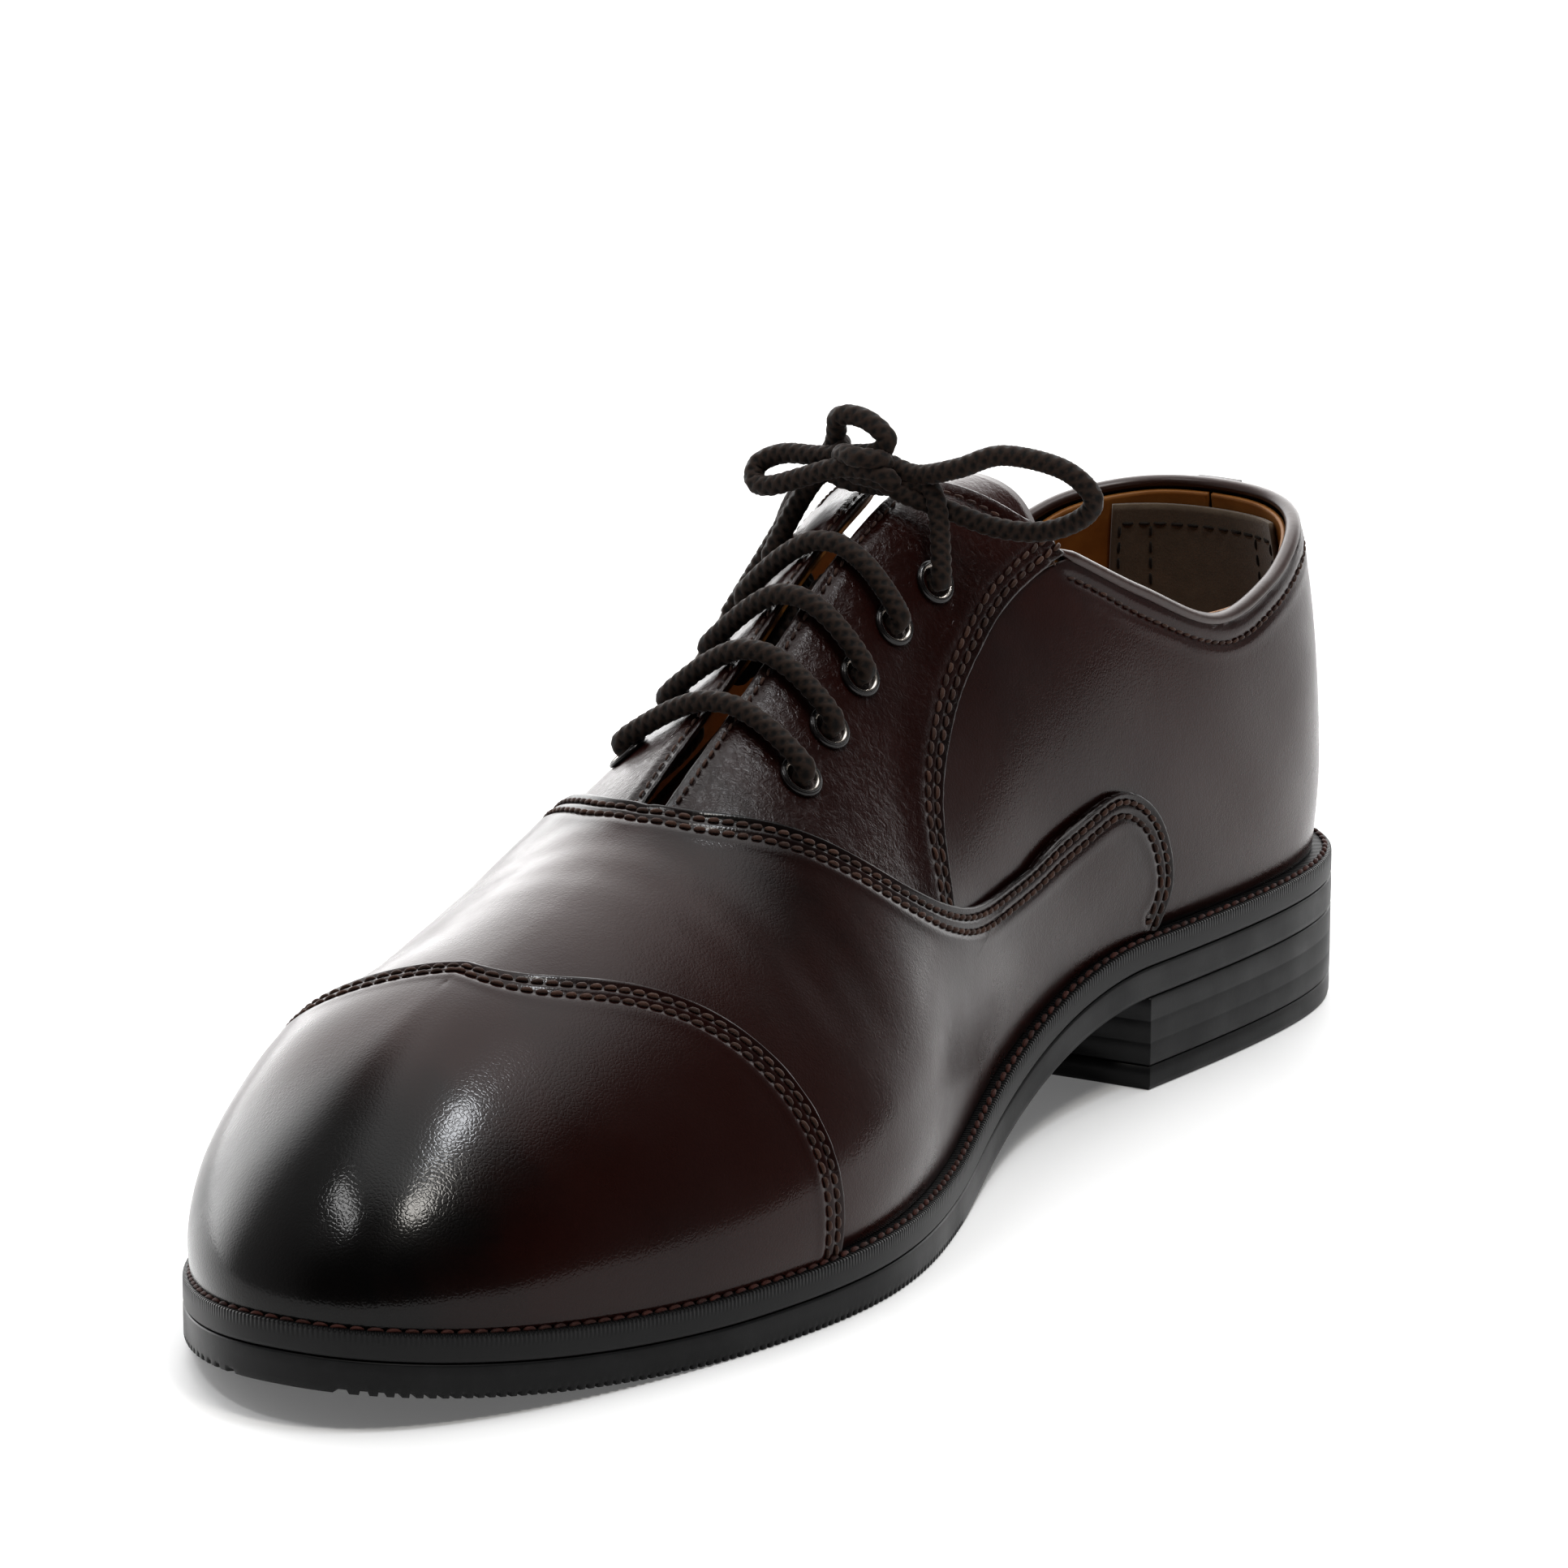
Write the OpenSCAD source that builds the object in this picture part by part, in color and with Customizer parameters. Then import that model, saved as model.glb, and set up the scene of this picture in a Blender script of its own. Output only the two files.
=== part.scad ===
// Leather cap-toe oxford shoe, right foot, built as separate pieces, millimetres.
// +Z is up, the toe points along -Y, the inner (medial) side of the foot is +X.
// The origin is on the ground below the middle of the heel.

/* [Size] */
// Length of the outsole from heel back to toe tip
sole_length = 300; // [270:1:330]
// Scale of all widths, 1 is a medium fitting
width_scale = 1; // [0.9:0.01:1.1]

/* [Sole and heel] */
// Height of the heel under the outsole
heel_height = 15.5; // [10:0.5:25]
// Thickness of outsole and welt together
sole_thickness = 9.5; // [8:0.5:14]
// Part of that thickness that is the outsole
outsole_thickness = 5.1; // [4:0.1:8]
// Rise of the toe tip above the ground
toe_spring = 6.5; // [3:0.5:12]
// Distance of the straight heel front from the heel back
heel_breast = 87; // [75:1:95]
// How far the welt stands out past the upper at the forepart
welt_margin = 4.2; // [2:0.1:6]
// How far it stands out at the heel
seat_margin = 3.4; // [1.5:0.1:5]
// Distance from one tread ridge to the next
tread_pitch = 3; // [2:0.5:6]
// Depth of the tread grooves
tread_depth = 0.8; // [0.4:0.1:2]

/* [Upper] */
// Thickness of the outer leather
leather = 1; // [0.8:0.1:1.6]
// Thickness of the lining leather
lining = 0.8; // [0.6:0.1:1.2]
// Free space left between two layers
gap = 0.4; // [0.2:0.05:0.5]
// Height of the topline at the heel back
back_height = 82; // [74:1:92]
// Half of the open slit between the facings
slit_half = 1.7; // [1:0.1:6]

/* [Lacing] */
// Eyelets on each side
eyelets = 5; // [4:1:6]
// Step between eyelets as a share of the rib count
eyelet_step = 0.024; // [0.02:0.001:0.028]
// Lace diameter
lace_d = 2.8; // [2:0.1:3.4]
// Outer diameter of an eyelet flange
eyelet_d = 7.2; // [6:0.1:8]
// Hole through an eyelet
eyelet_hole = 4.6; // [3.6:0.1:5]
// Length of a lace tip
aglet_length = 18; // [10:1:25]

/* [Hidden] */
heel_y = 33;
kl = sole_length / 300;
kw = width_scale;
// Feather line where upper meets sole: distance from the heel back, inner x, outer x
ROWS = [
  [4, 0, 0], [7, 15, -15], [20, 26.5, -27], [42, 29.5, -31], [75, 27.5, -32.5],
  [110, 23, -34.5], [145, 27, -40], [178, 39.5, -46.5], [205, 45, -48], [232, 41, -43],
  [255, 34, -35], [273, 27, -26.3], [286, 19, -15.5], [293, 11, -5.5], [294, 2.5, 2.5]
];
// Height of the ridge line of the last, shape exponent and side bulge, every 20 mm
CREST = [106, 106, 106, 106, 106, 106, 102.5, 95, 83.5, 72.5, 62.5, 57.4, 52.4, 46.8, 41, 35];
ROUND = [.35, .35, .36, .4, .5, .6, .9, 1.25, 1.38, 1.38, 1.33, 1.31, 1.23, 1.14, 1.04, .95];
BULGE = [.05, .05, .05, .06, .08, .1, .1, .09, .08, .07, .06, .05, .045, .045, .035, .02];
// Height of the topline every 20 mm from the heel back
TOPLINE = [82.3, 79.3, 73.5, 71.2, 79.5, 90, 99, 106];

function unit(a) = a / max(norm(a), 1e-9);
function lerp(a, b, t) = a + (b - a) * t;
function ease(a, b, x) = let (t = min(max((x - a) / (b - a), 0), 1)) t * t * (3 - 2 * t);
function smax(a, b, k) = (a + b + sqrt((a - b) * (a - b) + k * k)) / 2;
function smin(a, b, k) = (a + b - sqrt((a - b) * (a - b) + k * k)) / 2;
function swap(r) = [r[0], r[2], r[1]];
NR = len(ROWS);
RIBS = concat([swap(ROWS[1])], ROWS, [swap(ROWS[NR - 2])]);
// Uniform cubic spline over the rib rows, u runs from heel back 0 to toe tip 1
function row(u) =
  let (t = u * (NR - 1), i = min(max(floor(t), 0), NR - 2), f = t - i)
  ((1 - f) ^ 3 * RIBS[i] + (3 * f ^ 3 - 6 * f ^ 2 + 4) * RIBS[i + 1]
   + (-3 * f ^ 3 + 3 * f ^ 2 + 3 * f + 1) * RIBS[i + 2] + f ^ 3 * RIBS[i + 3]) / 6;
// Smooth curve through equally spaced values, numbers or vectors
function thru(T, t) =
  let (n = len(T) - 1, c = min(max(t, 0), n - 1e-6), i = floor(c), f = c - i,
       a = T[max(i - 1, 0)], b = T[i], d = T[i + 1], e = T[min(i + 2, n)])
  (2 * b + (d - a) * f + (2 * a - 5 * b + 4 * d - e) * f * f
   + (3 * b - a - 3 * d + e) * f * f * f) / 2;
function at(T, s) = thru(T, s / 20);

// Underside of the outsole and top of the welt at station s
function z_low(s) = toe_spring * (max(0, s - 235) / 65) ^ 2
  + heel_height * (1 - ease(heel_breast - 1, heel_breast + 81, s));
function z_seat(s) = z_low(s) + sole_thickness;

// Outer side: slopes more at the instep and stands fuller beside the toe
function lean(s) = .25 * ease(90, 125, s) * (1 - ease(142, 190, s))
  - .3 * ease(222, 256, s) * (1 - ease(262, 293, s));

// Exponent of the section; it comes back to a plain ellipse at the ridge so the top is round
function power(s, t, more) = 1 + (at(ROUND, s) * (1 + more) - 1) * (1 - t ^ 6);

// Point of the last surface: v 0 inner feather, 0.5 ridge, 1 outer feather
function last_in(u, v) =
  let (r = row(u), s = r[0], t = min(v, 1 - v) * 2, px = v < 0.5 ? r[1] : r[2],
       q = smin(smax(s, 34, 16), 250, 16),
       w = min(1.6 * t, 1), f = max(cos(90 * t), 0) ^ power(s, t, v < .5 ? 0 : lean(s))
         * (1 + 1.6 * at(BULGE, s) * sin(180 * w) * (1 - w)),
       ps = q + (s - q) * f, z0 = z_seat(s),
       z = z0 + (at(CREST, ps) + heel_height + sole_thickness - 25 - z0) * sin(90 * t))
  [px * f * kw, heel_y - ps * kl, z];
function last(u, v) = u < 0 ? last_in(-u, 1 - v) : u > 1 ? last_in(2 - u, 1 - v) : last_in(u, v);
function normal(u, v) =
  unit(cross(last(u, min(v + .015, 1)) - last(u, max(v - .015, 0)),
             last(u + .006, v) - last(u - .006, v)) + [0, 0, .4]);
// Point at height off above the last, never lower than just above the welt
function skin(u, v, off) =
  let (p = last(u, v) + off * normal(u, v))
  [p[0], p[1], max(p[2], z_seat((heel_y - p[1]) / kl) + .25)];

// Layers, inner and outer height above the last
L_QUARTER = [.1 - leather, .1];
L_VAMP = [.1 + gap, .1 + gap + leather];
L_CAP = [L_VAMP[1] + gap, L_VAMP[1] + gap + leather];
lin_out = L_QUARTER[0] - gap;
L_COUNTER = [lin_out - .85, lin_out];

// Closed sheet over a grid of [u, v, inner, outer]; fold joins the two halves at the toe
module sheet(G, fold = false) {
  na = len(G) - 1;
  nb = len(G[0]) - 1;
  w = nb + 1;
  n = (na + 1) * w;
  in_pts = [for (r = G) for (c = r) skin(c[0], c[1], c[2])];
  out_pts = [for (r = G) for (c = r) skin(c[0], c[1], c[3])];
  function id(i, j) = i * w + (fold && i == na && 2 * j > nb ? nb - j : j);
  m = floor(na / 2) * w + floor(nb / 3);
  flip = cross(out_pts[m + w] - out_pts[m], out_pts[m + 1] - out_pts[m])
    * (out_pts[m] - in_pts[m]) < 0;
  quads = concat(
    [for (i = [0:na - 1]) for (j = [0:nb - 1])
      [id(i, j) + n, id(i, j + 1) + n, id(i + 1, j + 1) + n, id(i + 1, j) + n]],
    [for (i = [0:na - 1]) for (j = [0:nb - 1])
      [id(i, j), id(i + 1, j), id(i + 1, j + 1), id(i, j + 1)]],
    [for (i = [0:na - 1]) [id(i, 0), id(i, 0) + n, id(i + 1, 0) + n, id(i + 1, 0)]],
    [for (i = [0:na - 1]) [id(i, nb), id(i + 1, nb), id(i + 1, nb) + n, id(i, nb) + n]],
    [for (j = [0:nb - 1]) [id(0, j), id(0, j + 1), id(0, j + 1) + n, id(0, j) + n]],
    fold ? [] : [for (j = [0:nb - 1])
      [id(na, j), id(na, j) + n, id(na, j + 1) + n, id(na, j + 1)]]
  );
  tris = [for (q = quads) for (t = [[q[0], q[1], q[2]], [q[0], q[2], q[3]]])
    if (t[0] != t[1] && t[1] != t[2] && t[0] != t[2]) flip ? [t[2], t[1], t[0]] : t];
  polyhedron(concat(in_pts, out_pts), tris);
}
// Grid between four border curves: back and front run up the shoe, low and top run along it
function patch(back, front, low, top, na, nb, lay) =
  [for (i = [0:na]) [for (j = [0:nb])
    let (a = i / na, b = j / nb,
         L = thru(back, b * (len(back) - 1)), R = thru(front, b * (len(front) - 1)),
         B = thru(low, a * (len(low) - 1)), T = thru(top, a * (len(top) - 1)),
         p = (1 - a) * L + a * R + (1 - b) * B + b * T
           - (1 - a) * (1 - b) * back[0] - a * (1 - b) * front[0]
           - (1 - a) * b * back[len(back) - 1] - a * b * front[len(front) - 1])
    [p[0], p[1], lay[0], lay[1]]]];
// The same grid on the outer side of the foot
function mirrored(G) = [for (r = G) [for (c = r) [c[0], 1 - c[1], c[2], c[3]]]];
function relaid(G, d) =
  [for (r = G) [for (c = r) [c[0], c[1], c[2] + d(c[0]), c[3] + d(c[0])]]];

// Rounded bar along a path; up gives the direction of its first axis
function dirs(P, closed) =
  let (n = len(P))
  [for (i = [0:n - 1])
    unit(closed ? P[(i + 1) % n] - P[(i + n - 1) % n] : P[min(i + 1, n - 1)] - P[max(i - 1, 0)])];
module bar(P, r, k = 6, h = 0, closed = false) {
  n = len(P);
  T = dirs(P, closed);
  first = unit([.13, .2, 1] - ([.13, .2, 1] * T[0]) * T[0]);
  N = closed || h > 0
    ? [for (t = T) unit([0, 0, 1] - t[2] * t)]
    : [for (i = 0, a = first; i < n; i = i + 1,
         a = i < n ? unit(a - (a * T[i]) * T[i]) : a) a];
  ry = h > 0 ? h : r;
  pts = [for (i = [0:n - 1]) for (j = [0:k - 1])
    P[i] + cos(360 * j / k) * r * cross(T[i], N[i]) + sin(360 * j / k) * ry * N[i]];
  last_ring = closed ? n - 1 : n - 2;
  faces = concat(
    [for (i = [0:last_ring]) for (j = [0:k - 1])
      let (a = i * k + j, b = i * k + (j + 1) % k, c = ((i + 1) % n) * k)
      each [[a, c + j, c + (j + 1) % k], [a, c + (j + 1) % k, b]]],
    closed ? [] : [[for (j = [0:k - 1]) j], [for (j = [0:k - 1]) n * k - 1 - j]]
  );
  polyhedron(pts, faces);
}
function smooth(C, per) =
  concat([for (i = [0:len(C) - 2]) for (f = [0:per - 1]) thru(C, i + f / per)], [C[len(C) - 1]]);

// Plan outline of the sole, d past the feather line
function edge_pt(u, side, d) =
  let (a = row(u), h = .004, b = row(min(u + h, 1)), c = row(max(u - h, 0)),
       t = unit([(b[side] - c[side]) * kw, -(b[0] - c[0]) * kl]),
       n = side == 1 ? [-t[1], t[0]] : [t[1], -t[0]],
       e = u <= 0 ? [0, 1] : u >= 1 ? [0, -1] : n)
  [a[side] * kw + d * e[0], heel_y - a[0] * kl + d * e[1]];
function out_margin(u) = lerp(seat_margin, welt_margin, ease(.25, .45, u));
function outline(extra, inset = 0) =
  let (n = 34, m = function(u) inset > 0 ? -inset : out_margin(u) + extra,
       w = function(i) (1 - cos(180 * i / n)) / 2 * .35 + .65 * i / n)
  concat([for (i = [0:n]) edge_pt(w(i), 1, m(w(i)))],
         [for (i = [n - 1:-1:1]) edge_pt(w(i), 2, m(w(i)))]);
// Slab between two height functions, from station s0 to s1
module slab(lo, hi, s0, s1, step = 3) {
  n = ceil((s1 - s0) / step);
  S = [for (i = [0:n]) lerp(s0, s1, i / n)];
  P = concat([for (s = S) [heel_y - s * kl, lo(s)]],
             [for (i = [n:-1:0]) [heel_y - S[i] * kl, hi(S[i])]]);
  rotate([90, 0, 90])
    linear_extrude(150, center = true)
      polygon(P);
}
module plan(extra, inset = 0) {
  translate([0, 0, -5])
    linear_extrude(80)
      polygon(outline(extra, inset));
}

// Border curves of the upper as [u, v] on the inner side
function top_v(u) =
  let (s = row(u)[0], lift = back_height - 82, z0 = z_seat(s))
  asin(min((at(TOPLINE, s) + lift - z0) / (at(CREST, s) - z0), .98)) / 180;
function slit_t(r, t, rounds) =
  rounds == 0 ? t : slit_t(r, acos((slit_half / r[1]) ^ (1 / power(r[0], t, 0))) / 90, rounds - 1);
function slit_v(u) = slit_t(row(u), .9, 4) / 2;
FACING_SEAM = [[.333, top_v(.333)], [.365, .276], [.39, .254], [.41, .23], [.43, .194], [.444, .13]];
FACING_SLIT = [for (u = [.372, .41, .45, .5, .55]) [u, slit_v(u)]];
FACING_TOP = [[.333, top_v(.333)], [.345, .345], [.357, .4], [.372, slit_v(.372)]];
FACING_LOW = [[.444, .13], [.479, .19], [.505, .27], [.53, .37], [.55, slit_v(.55)]];
QUARTER_BACK = [for (i = [0:4]) [.0015, top_v(0) * i / 4]];
QUARTER_TOP = [for (i = [0:5]) let (u = lerp(.0015, .33, i / 5)) [u, top_v(u)]];
QUARTER_FRONT = [[.31, 0], [.325, .05], [.38, .072], [.436, .12], [.424, .196], [.404, .232],
                 [.384, .256], [.36, .278], [.33, top_v(.33)]];
VAMP_EDGE = [[.299, 0], [.292, .035], [.303, .08], [.325, .104], [.355, .101], [.39, .104],
             [.432, .13], [.474, .203], [.511, .32], [.534, .42], [.541, .5]];
function cap_u(v) = .597 + .106 * exp(-((v - .5) / .19) ^ 2);
// The cap seam runs further forward on the outer side
function cap_skew(v) = .06 * ease(.5, .72, v);
function skewed(p, amount) = [p[0] + amount * cap_skew(p[1]), p[1]];

facing_grid = patch(FACING_TOP, FACING_LOW, FACING_SEAM, FACING_SLIT, 12, 9, L_QUARTER);
quarter_grid = patch(QUARTER_BACK, QUARTER_FRONT, [[.0015, 0], [.31, 0]], QUARTER_TOP,
                     24, 14, L_QUARTER);
function both(E, j, nb) =
  let (b = j / nb, h = b <= .5 ? 2 * b : 2 - 2 * b, p = thru(E, h * (len(E) - 1)))
  b <= .5 ? p : [p[0], 1 - p[1]];
function across(E, F, na, nb, lay, skew_e = 0, skew_f = 0) =
  [for (i = [0:na]) [for (j = [0:nb])
    let (p = lerp(skewed(both(E, j, nb), skew_e), skewed(both(F, j, nb), skew_f), i / na))
    [p[0], p[1], lay[0], lay[1]]]];
VAMP_V = [0, .03, .06, .08, .1, .12, .15, .215, .325, .42, .5];
VAMP_FRONT = [for (v = VAMP_V) [cap_u(v) + .028, v]];
VL_EDGE = [[.33, 0], [.345, .035], [.4, .052], [.462, .1], [.5, .19], [.529, .28], [.555, .38],
           [.572, .5]];

// Eyelet places and lace run
function eye_u(i) = .489 - eyelet_step * i;
eye_v = .337;
function eye(i, side) = side > 0 ? [eye_u(i), eye_v] : [eye_u(i), 1 - eye_v];
module on_skin(p, off) {
  n = normal(p[0], p[1]);
  translate(skin(p[0], p[1], off))
    rotate([0, acos(n[2]), atan2(n[1], n[0])])
      children();
}
module eyelet_ring() {
  h = leather + gap + lining;
  ro = eyelet_d / 2;
  ri = eyelet_hole / 2;
  rotate_extrude($fn = 40)
    polygon([[ri, -h - 1.15], [ri + .8, -h - 1.15], [ri + .8, -h - .75], [ri + .5, -h - .65], [ri + .5, .1],
             [ro - .1, .1], [ro, .3], [ro - .35, .6], [ri + .8, .72], [ri, .2]]);
}
under = L_QUARTER[0] - gap - lining - 1.45 - lace_d / 2;
over = .1 + .3 + lace_d / 2;
function up_hole(i, side) =
  let (p = eye(i, side))
  [for (o = [under + .7, -1, 1, over + .5]) skin(p[0], p[1] + (o > 1 ? .004 * side : 0), o)];
function rev(L) = [for (i = [len(L) - 1:-1:0]) L[i]];
function sk(u, v, o) = skin(u, v, o);
// Bar over the slit in row i, running from one side to the other
function rung(i, side) =
  let (u = eye_u(i), span = 1 - 2 * eye_v,
       P = [for (w = [.11, .25, .4, .5, .6, .75, .89])
         sk(u, eye_v + w * span, over + .75 * (1 - sin(180 * w)))])
  side > 0 ? P : rev(P);
ku = .388;
K0 = last(ku, .5);
KN = normal(ku, .5);
KT = unit(last(ku - .01, .5) - last(ku + .01, .5));
function kp(x, t, n) = K0 + x * [1, 0, 0] + t * KT + n * KN;
// Two halves that start in the middle of the lowest rung
HALF_A = concat(
  [for (p = [4:6]) rung(0, 1)[p]], rev(up_hole(0, -1)),
  [sk(eye_u(.3), 1 - eye_v, under), sk(eye_u(.7), 1 - eye_v, under)], up_hole(1, -1), rung(1, -1),
  rev(up_hole(1, 1)),
  [sk(eye_u(1.3), .362, under), sk(eye_u(2), .39, under), sk(eye_u(2.7), .366, under)],
  up_hole(3, 1), rung(3, 1), rev(up_hole(3, -1)),
  [sk(eye_u(3.3), 1 - eye_v, under), sk(eye_u(3.7), 1 - eye_v, under)], up_hole(4, -1),
  [kp(-10.4, 1.2, 2.2), kp(-6, 1.8, 3.8), kp(-2, 3, 6.2), kp(2, 5, 7), kp(7, 7.5, 7), kp(15, 11.5, 8.5),
   kp(24, 13.5, 10), kp(32, 11, 10), kp(35, 5, 8.5), kp(31, -.5, 7), kp(22, -2, 7), kp(13, -1.5, 8.2),
   kp(6, .5, 10), kp(0, 4, 10.6), kp(-5, 9, 10.5), kp(-9, 15, 12), kp(-13, 20, 13), kp(-17, 22, 10),
   kp(-20, 21, 4)]);
HALF_B = concat(
  [for (p = [2:-1:0]) rung(0, 1)[p]], rev(up_hole(0, 1)),
  [sk(eye_u(.3), .341, under), sk(eye_u(1), .312, under), sk(eye_u(1.7), .34, under)],
  up_hole(2, 1), rung(2, 1), rev(up_hole(2, -1)),
  [for (t = [.12, .3, .5, .7, .88]) sk(eye_u(2 + 2 * t), lerp(1 - eye_v, eye_v, t), under)],
  up_hole(4, 1),
  [kp(10.4, 1.2, 1.5), kp(6, 1.8, 2.4), kp(2, 3, 2.9), kp(-2, 5.5, 3), kp(-6, 7.5, 3.4), kp(-12, 7.5, 5),
   kp(-19, 6, 6), kp(-25, 4, 5.5), kp(-27.5, .5, 4.5), kp(-24, -2.6, 4.5), kp(-17, -2.6, 6),
   kp(-10, -2.5, 7.2), kp(-4, -3.2, 8.6), kp(2, -5.5, 9.5), kp(7, -9.5, 9), kp(11, -14, 6.5),
   kp(14, -19, 5)]);
LACE = smooth(concat(rev(HALF_A), [rung(0, 1)[3]], HALF_B), 2);

// Leather upper
module toe_cap() {
  color([.2, .1, .08])
    sheet(across([for (i = [0:10]) [cap_u(i / 20), i / 20]], [for (i = [0:10]) [1, i / 20]],
                 16, 24, L_CAP, 1), true);
}
module vamp() {
  color([.23, .12, .1])
    sheet(across(VAMP_EDGE, VAMP_FRONT, 18, 40, L_VAMP, 0, 1));
}
module quarter_medial() {
  color([.24, .13, .11])
    sheet(quarter_grid);
}
module quarter_lateral() {
  color([.24, .13, .11])
    sheet(mirrored(quarter_grid));
}
module facing(side) {
  difference() {
    if (side > 0) sheet(facing_grid);
    else sheet(mirrored(facing_grid));
    for (i = [0:eyelets - 1])
      on_skin(eye(i, side), .1)
        cylinder(h = 10, r = eyelet_hole / 2 + .65, center = true, $fn = 24);
  }
}
module facing_medial() {
  color([.25, .14, .11])
    facing(1);
}
module facing_lateral() {
  color([.25, .14, .11])
    facing(-1);
}
module heel_tab() {
  t = top_v(0);
  color([.2, .1, .08])
    sheet([for (w = [-.022, -.011, 0, .011, .022]) [for (j = [0:3])
      let (v = t - .045 + .05 * j / 3) [abs(w), w < 0 ? 1 - v : v, .1 + gap, 1.1 + gap]]]);
}
module topline_binding() {
  w = [for (i = [-22:22]) i / 22];
  color([.26, .12, .08])
    bar([for (a = w) let (u = .323 * abs(a) ^ .9, v = top_v(u) + .0075)
         sk(u, a < 0 ? 1 - v : v, -.6 - .6 * (1 - ease(.2, .3, u)))], 1.25, 8, .8);
}

// Linings and stiffeners
function lin_drop(u) = -(.85 + gap) * (1 - ease(.19, .27, u));
module lining_side(side) {
  G = relaid(patch([for (i = [0:4]) [.002, .02 + (top_v(0) - .02) * i / 4]],
                   [[.33, .02], [.38, .055], [.45, .1], [.5, .2], [.535, .3], [.558, slit_v(.54)]],
                   [[.002, .02], [.33, .02]],
                   concat([for (u = [.002, .05, .1, .15, .2, .245, .29]) [u, top_v(u) - .002]],
                          [[.335, .3], [.375, slit_v(.38)], [.43, slit_v(.43)],
                           [.49, slit_v(.49)], [.558, slit_v(.54)]]),
                   26, 10, [lin_out - lining, lin_out]), function(u) lin_drop(u));
  difference() {
    if (side > 0) sheet(G);
    else sheet(mirrored(G));
    for (i = [0:eyelets - 1])
      on_skin(eye(i, side), .1)
        cylinder(h = 12, r = eyelet_hole / 2 + .65, center = true, $fn = 24);
  }
}
module quarter_lining_medial() {
  color([.45, .29, .12])
    lining_side(1);
}
module quarter_lining_lateral() {
  color([.45, .29, .12])
    lining_side(-1);
}
module vamp_lining() {
  color([.45, .29, .12])
    sheet(relaid(across(VL_EDGE, [for (i = [0:7]) [1, i / 14]], 24, 32, L_QUARTER),
                 function(u) -.2 * (1 - ease(.42, .5, u))), true);
}
module toe_puff() {
  color([.75, .7, .6])
    sheet([for (i = [-9:9]) [for (j = [0:6])
      let (u = 1 - .27 * abs(i) / 9, v = .02 + .29 * j / 6)
      [u, i < 0 ? 1 - v : v, L_VAMP[0], L_VAMP[1]]]]);
}
module heel_counter() {
  color([.6, .5, .38])
    sheet([for (i = [-10:10]) [for (j = [0:6])
      let (u = .17 * abs(i) / 10, v = .012 + (.2 - .08 * (i / 10) ^ 2) * j / 6)
      [u, i < 0 ? 1 - v : v, L_COUNTER[0], L_COUNTER[1]]]]);
}
module heel_grip() {
  o = lin_out - .85 - gap - lining - gap;
  color([.42, .36, .28])
    sheet([for (i = [-6:6]) [for (j = [0:5])
      let (u = .1 * abs(i) / 6, v = .07 + (top_v(0) - .082) * j / 5)
      [u, i < 0 ? 1 - v : v, o - .7, o]]]);
}
tongue_out = under - lace_d / 2 - .5;
module tongue() {
  color([.22, .12, .1])
    sheet([for (i = [0:14]) [for (j = [0:12])
      let (u = lerp(.345, .548, i / 14), w = lerp(.19, .12, i / 14))
      [u, .5 + w * (j / 6 - 1), tongue_out - leather, tongue_out]]]);
}
module tongue_lining() {
  color([.45, .29, .12])
    sheet([for (i = [0:12]) [for (j = [0:10])
      let (u = lerp(.35, .54, i / 12), w = lerp(.18, .11, i / 12))
      [u, .5 + w * (j / 5 - 1), tongue_out - leather - gap - lining,
       tongue_out - leather - gap]]]);
}

// Lacing
module eyelets_side(side) {
  for (i = [0:eyelets - 1])
    on_skin(eye(i, side), .15)
      eyelet_ring();
}
module eyelets_medial() {
  color([.3, .29, .28])
    eyelets_side(1);
}
module eyelets_lateral() {
  color([.3, .29, .28])
    eyelets_side(-1);
}
module lace() {
  color([.2, .15, .13])
    bar(LACE, lace_d / 2, 7);
}
module tip_at(p, d) {
  translate(p + .1 * d)
    rotate([0, acos(d[2]), atan2(d[1], d[0])])
      cylinder(h = aglet_length, r = lace_d / 2 - .1, $fn = 32);
}
module aglets() {
  n = len(LACE);
  color([.35, .32, .3]) {
    tip_at(LACE[0], unit(LACE[0] - LACE[1]));
    tip_at(LACE[n - 1], unit(LACE[n - 1] - LACE[n - 2]));
  }
}

// Bottom
split = outsole_thickness;
nails = [[0, 22], [13, 32], [-13, 32], [12, 58], [-13, 58], [0, 70]];
module nail_holes(r) {
  for (p = nails)
    translate([p[0], heel_y - p[1] * kl, 4.6])
      cylinder(h = heel_height + split - 5.6, r = r, $fn = 16);
}
module tread_slab() {
  n = floor((300 - 166) / tread_pitch);
  teeth = [for (i = [0:n - 1]) let (s = 166 + i * tread_pitch, w = tread_pitch)
    each [[s, 0], [s + .45 * w, 0], [s + .55 * w, tread_depth], [s + .95 * w, tread_depth]]];
  rear = [for (s = [0:3:165]) [s, 0]];
  low = [for (q = concat(rear, teeth, [[301, 0]])) [heel_y - q[0] * kl, z_low(q[0]) + q[1]]];
  high = [for (s = [301:-3:0]) [heel_y - s * kl, z_low(s) + split]];
  intersection() {
    plan(0);
    rotate([90, 0, 90])
      linear_extrude(150, center = true)
        polygon(concat(low, high, [[heel_y, z_low(0) + split]]));
  }
}
module outsole_rear() {
  color([.07, .07, .08])
    difference() {
      tread_slab();
      nail_holes(1.1);
      translate([-75, heel_y - 310 * kl, -5])
        cube([150, 96 * kl + .15, 60]);
    }
}
module outsole_forepart() {
  color([.07, .07, .08])
    intersection() {
      tread_slab();
      translate([-75, heel_y - 310 * kl, -5])
        cube([150, 96 * kl - .15, 60]);
    }
}
function above_outsole(s) = z_low(s) + split + .05;
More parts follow.
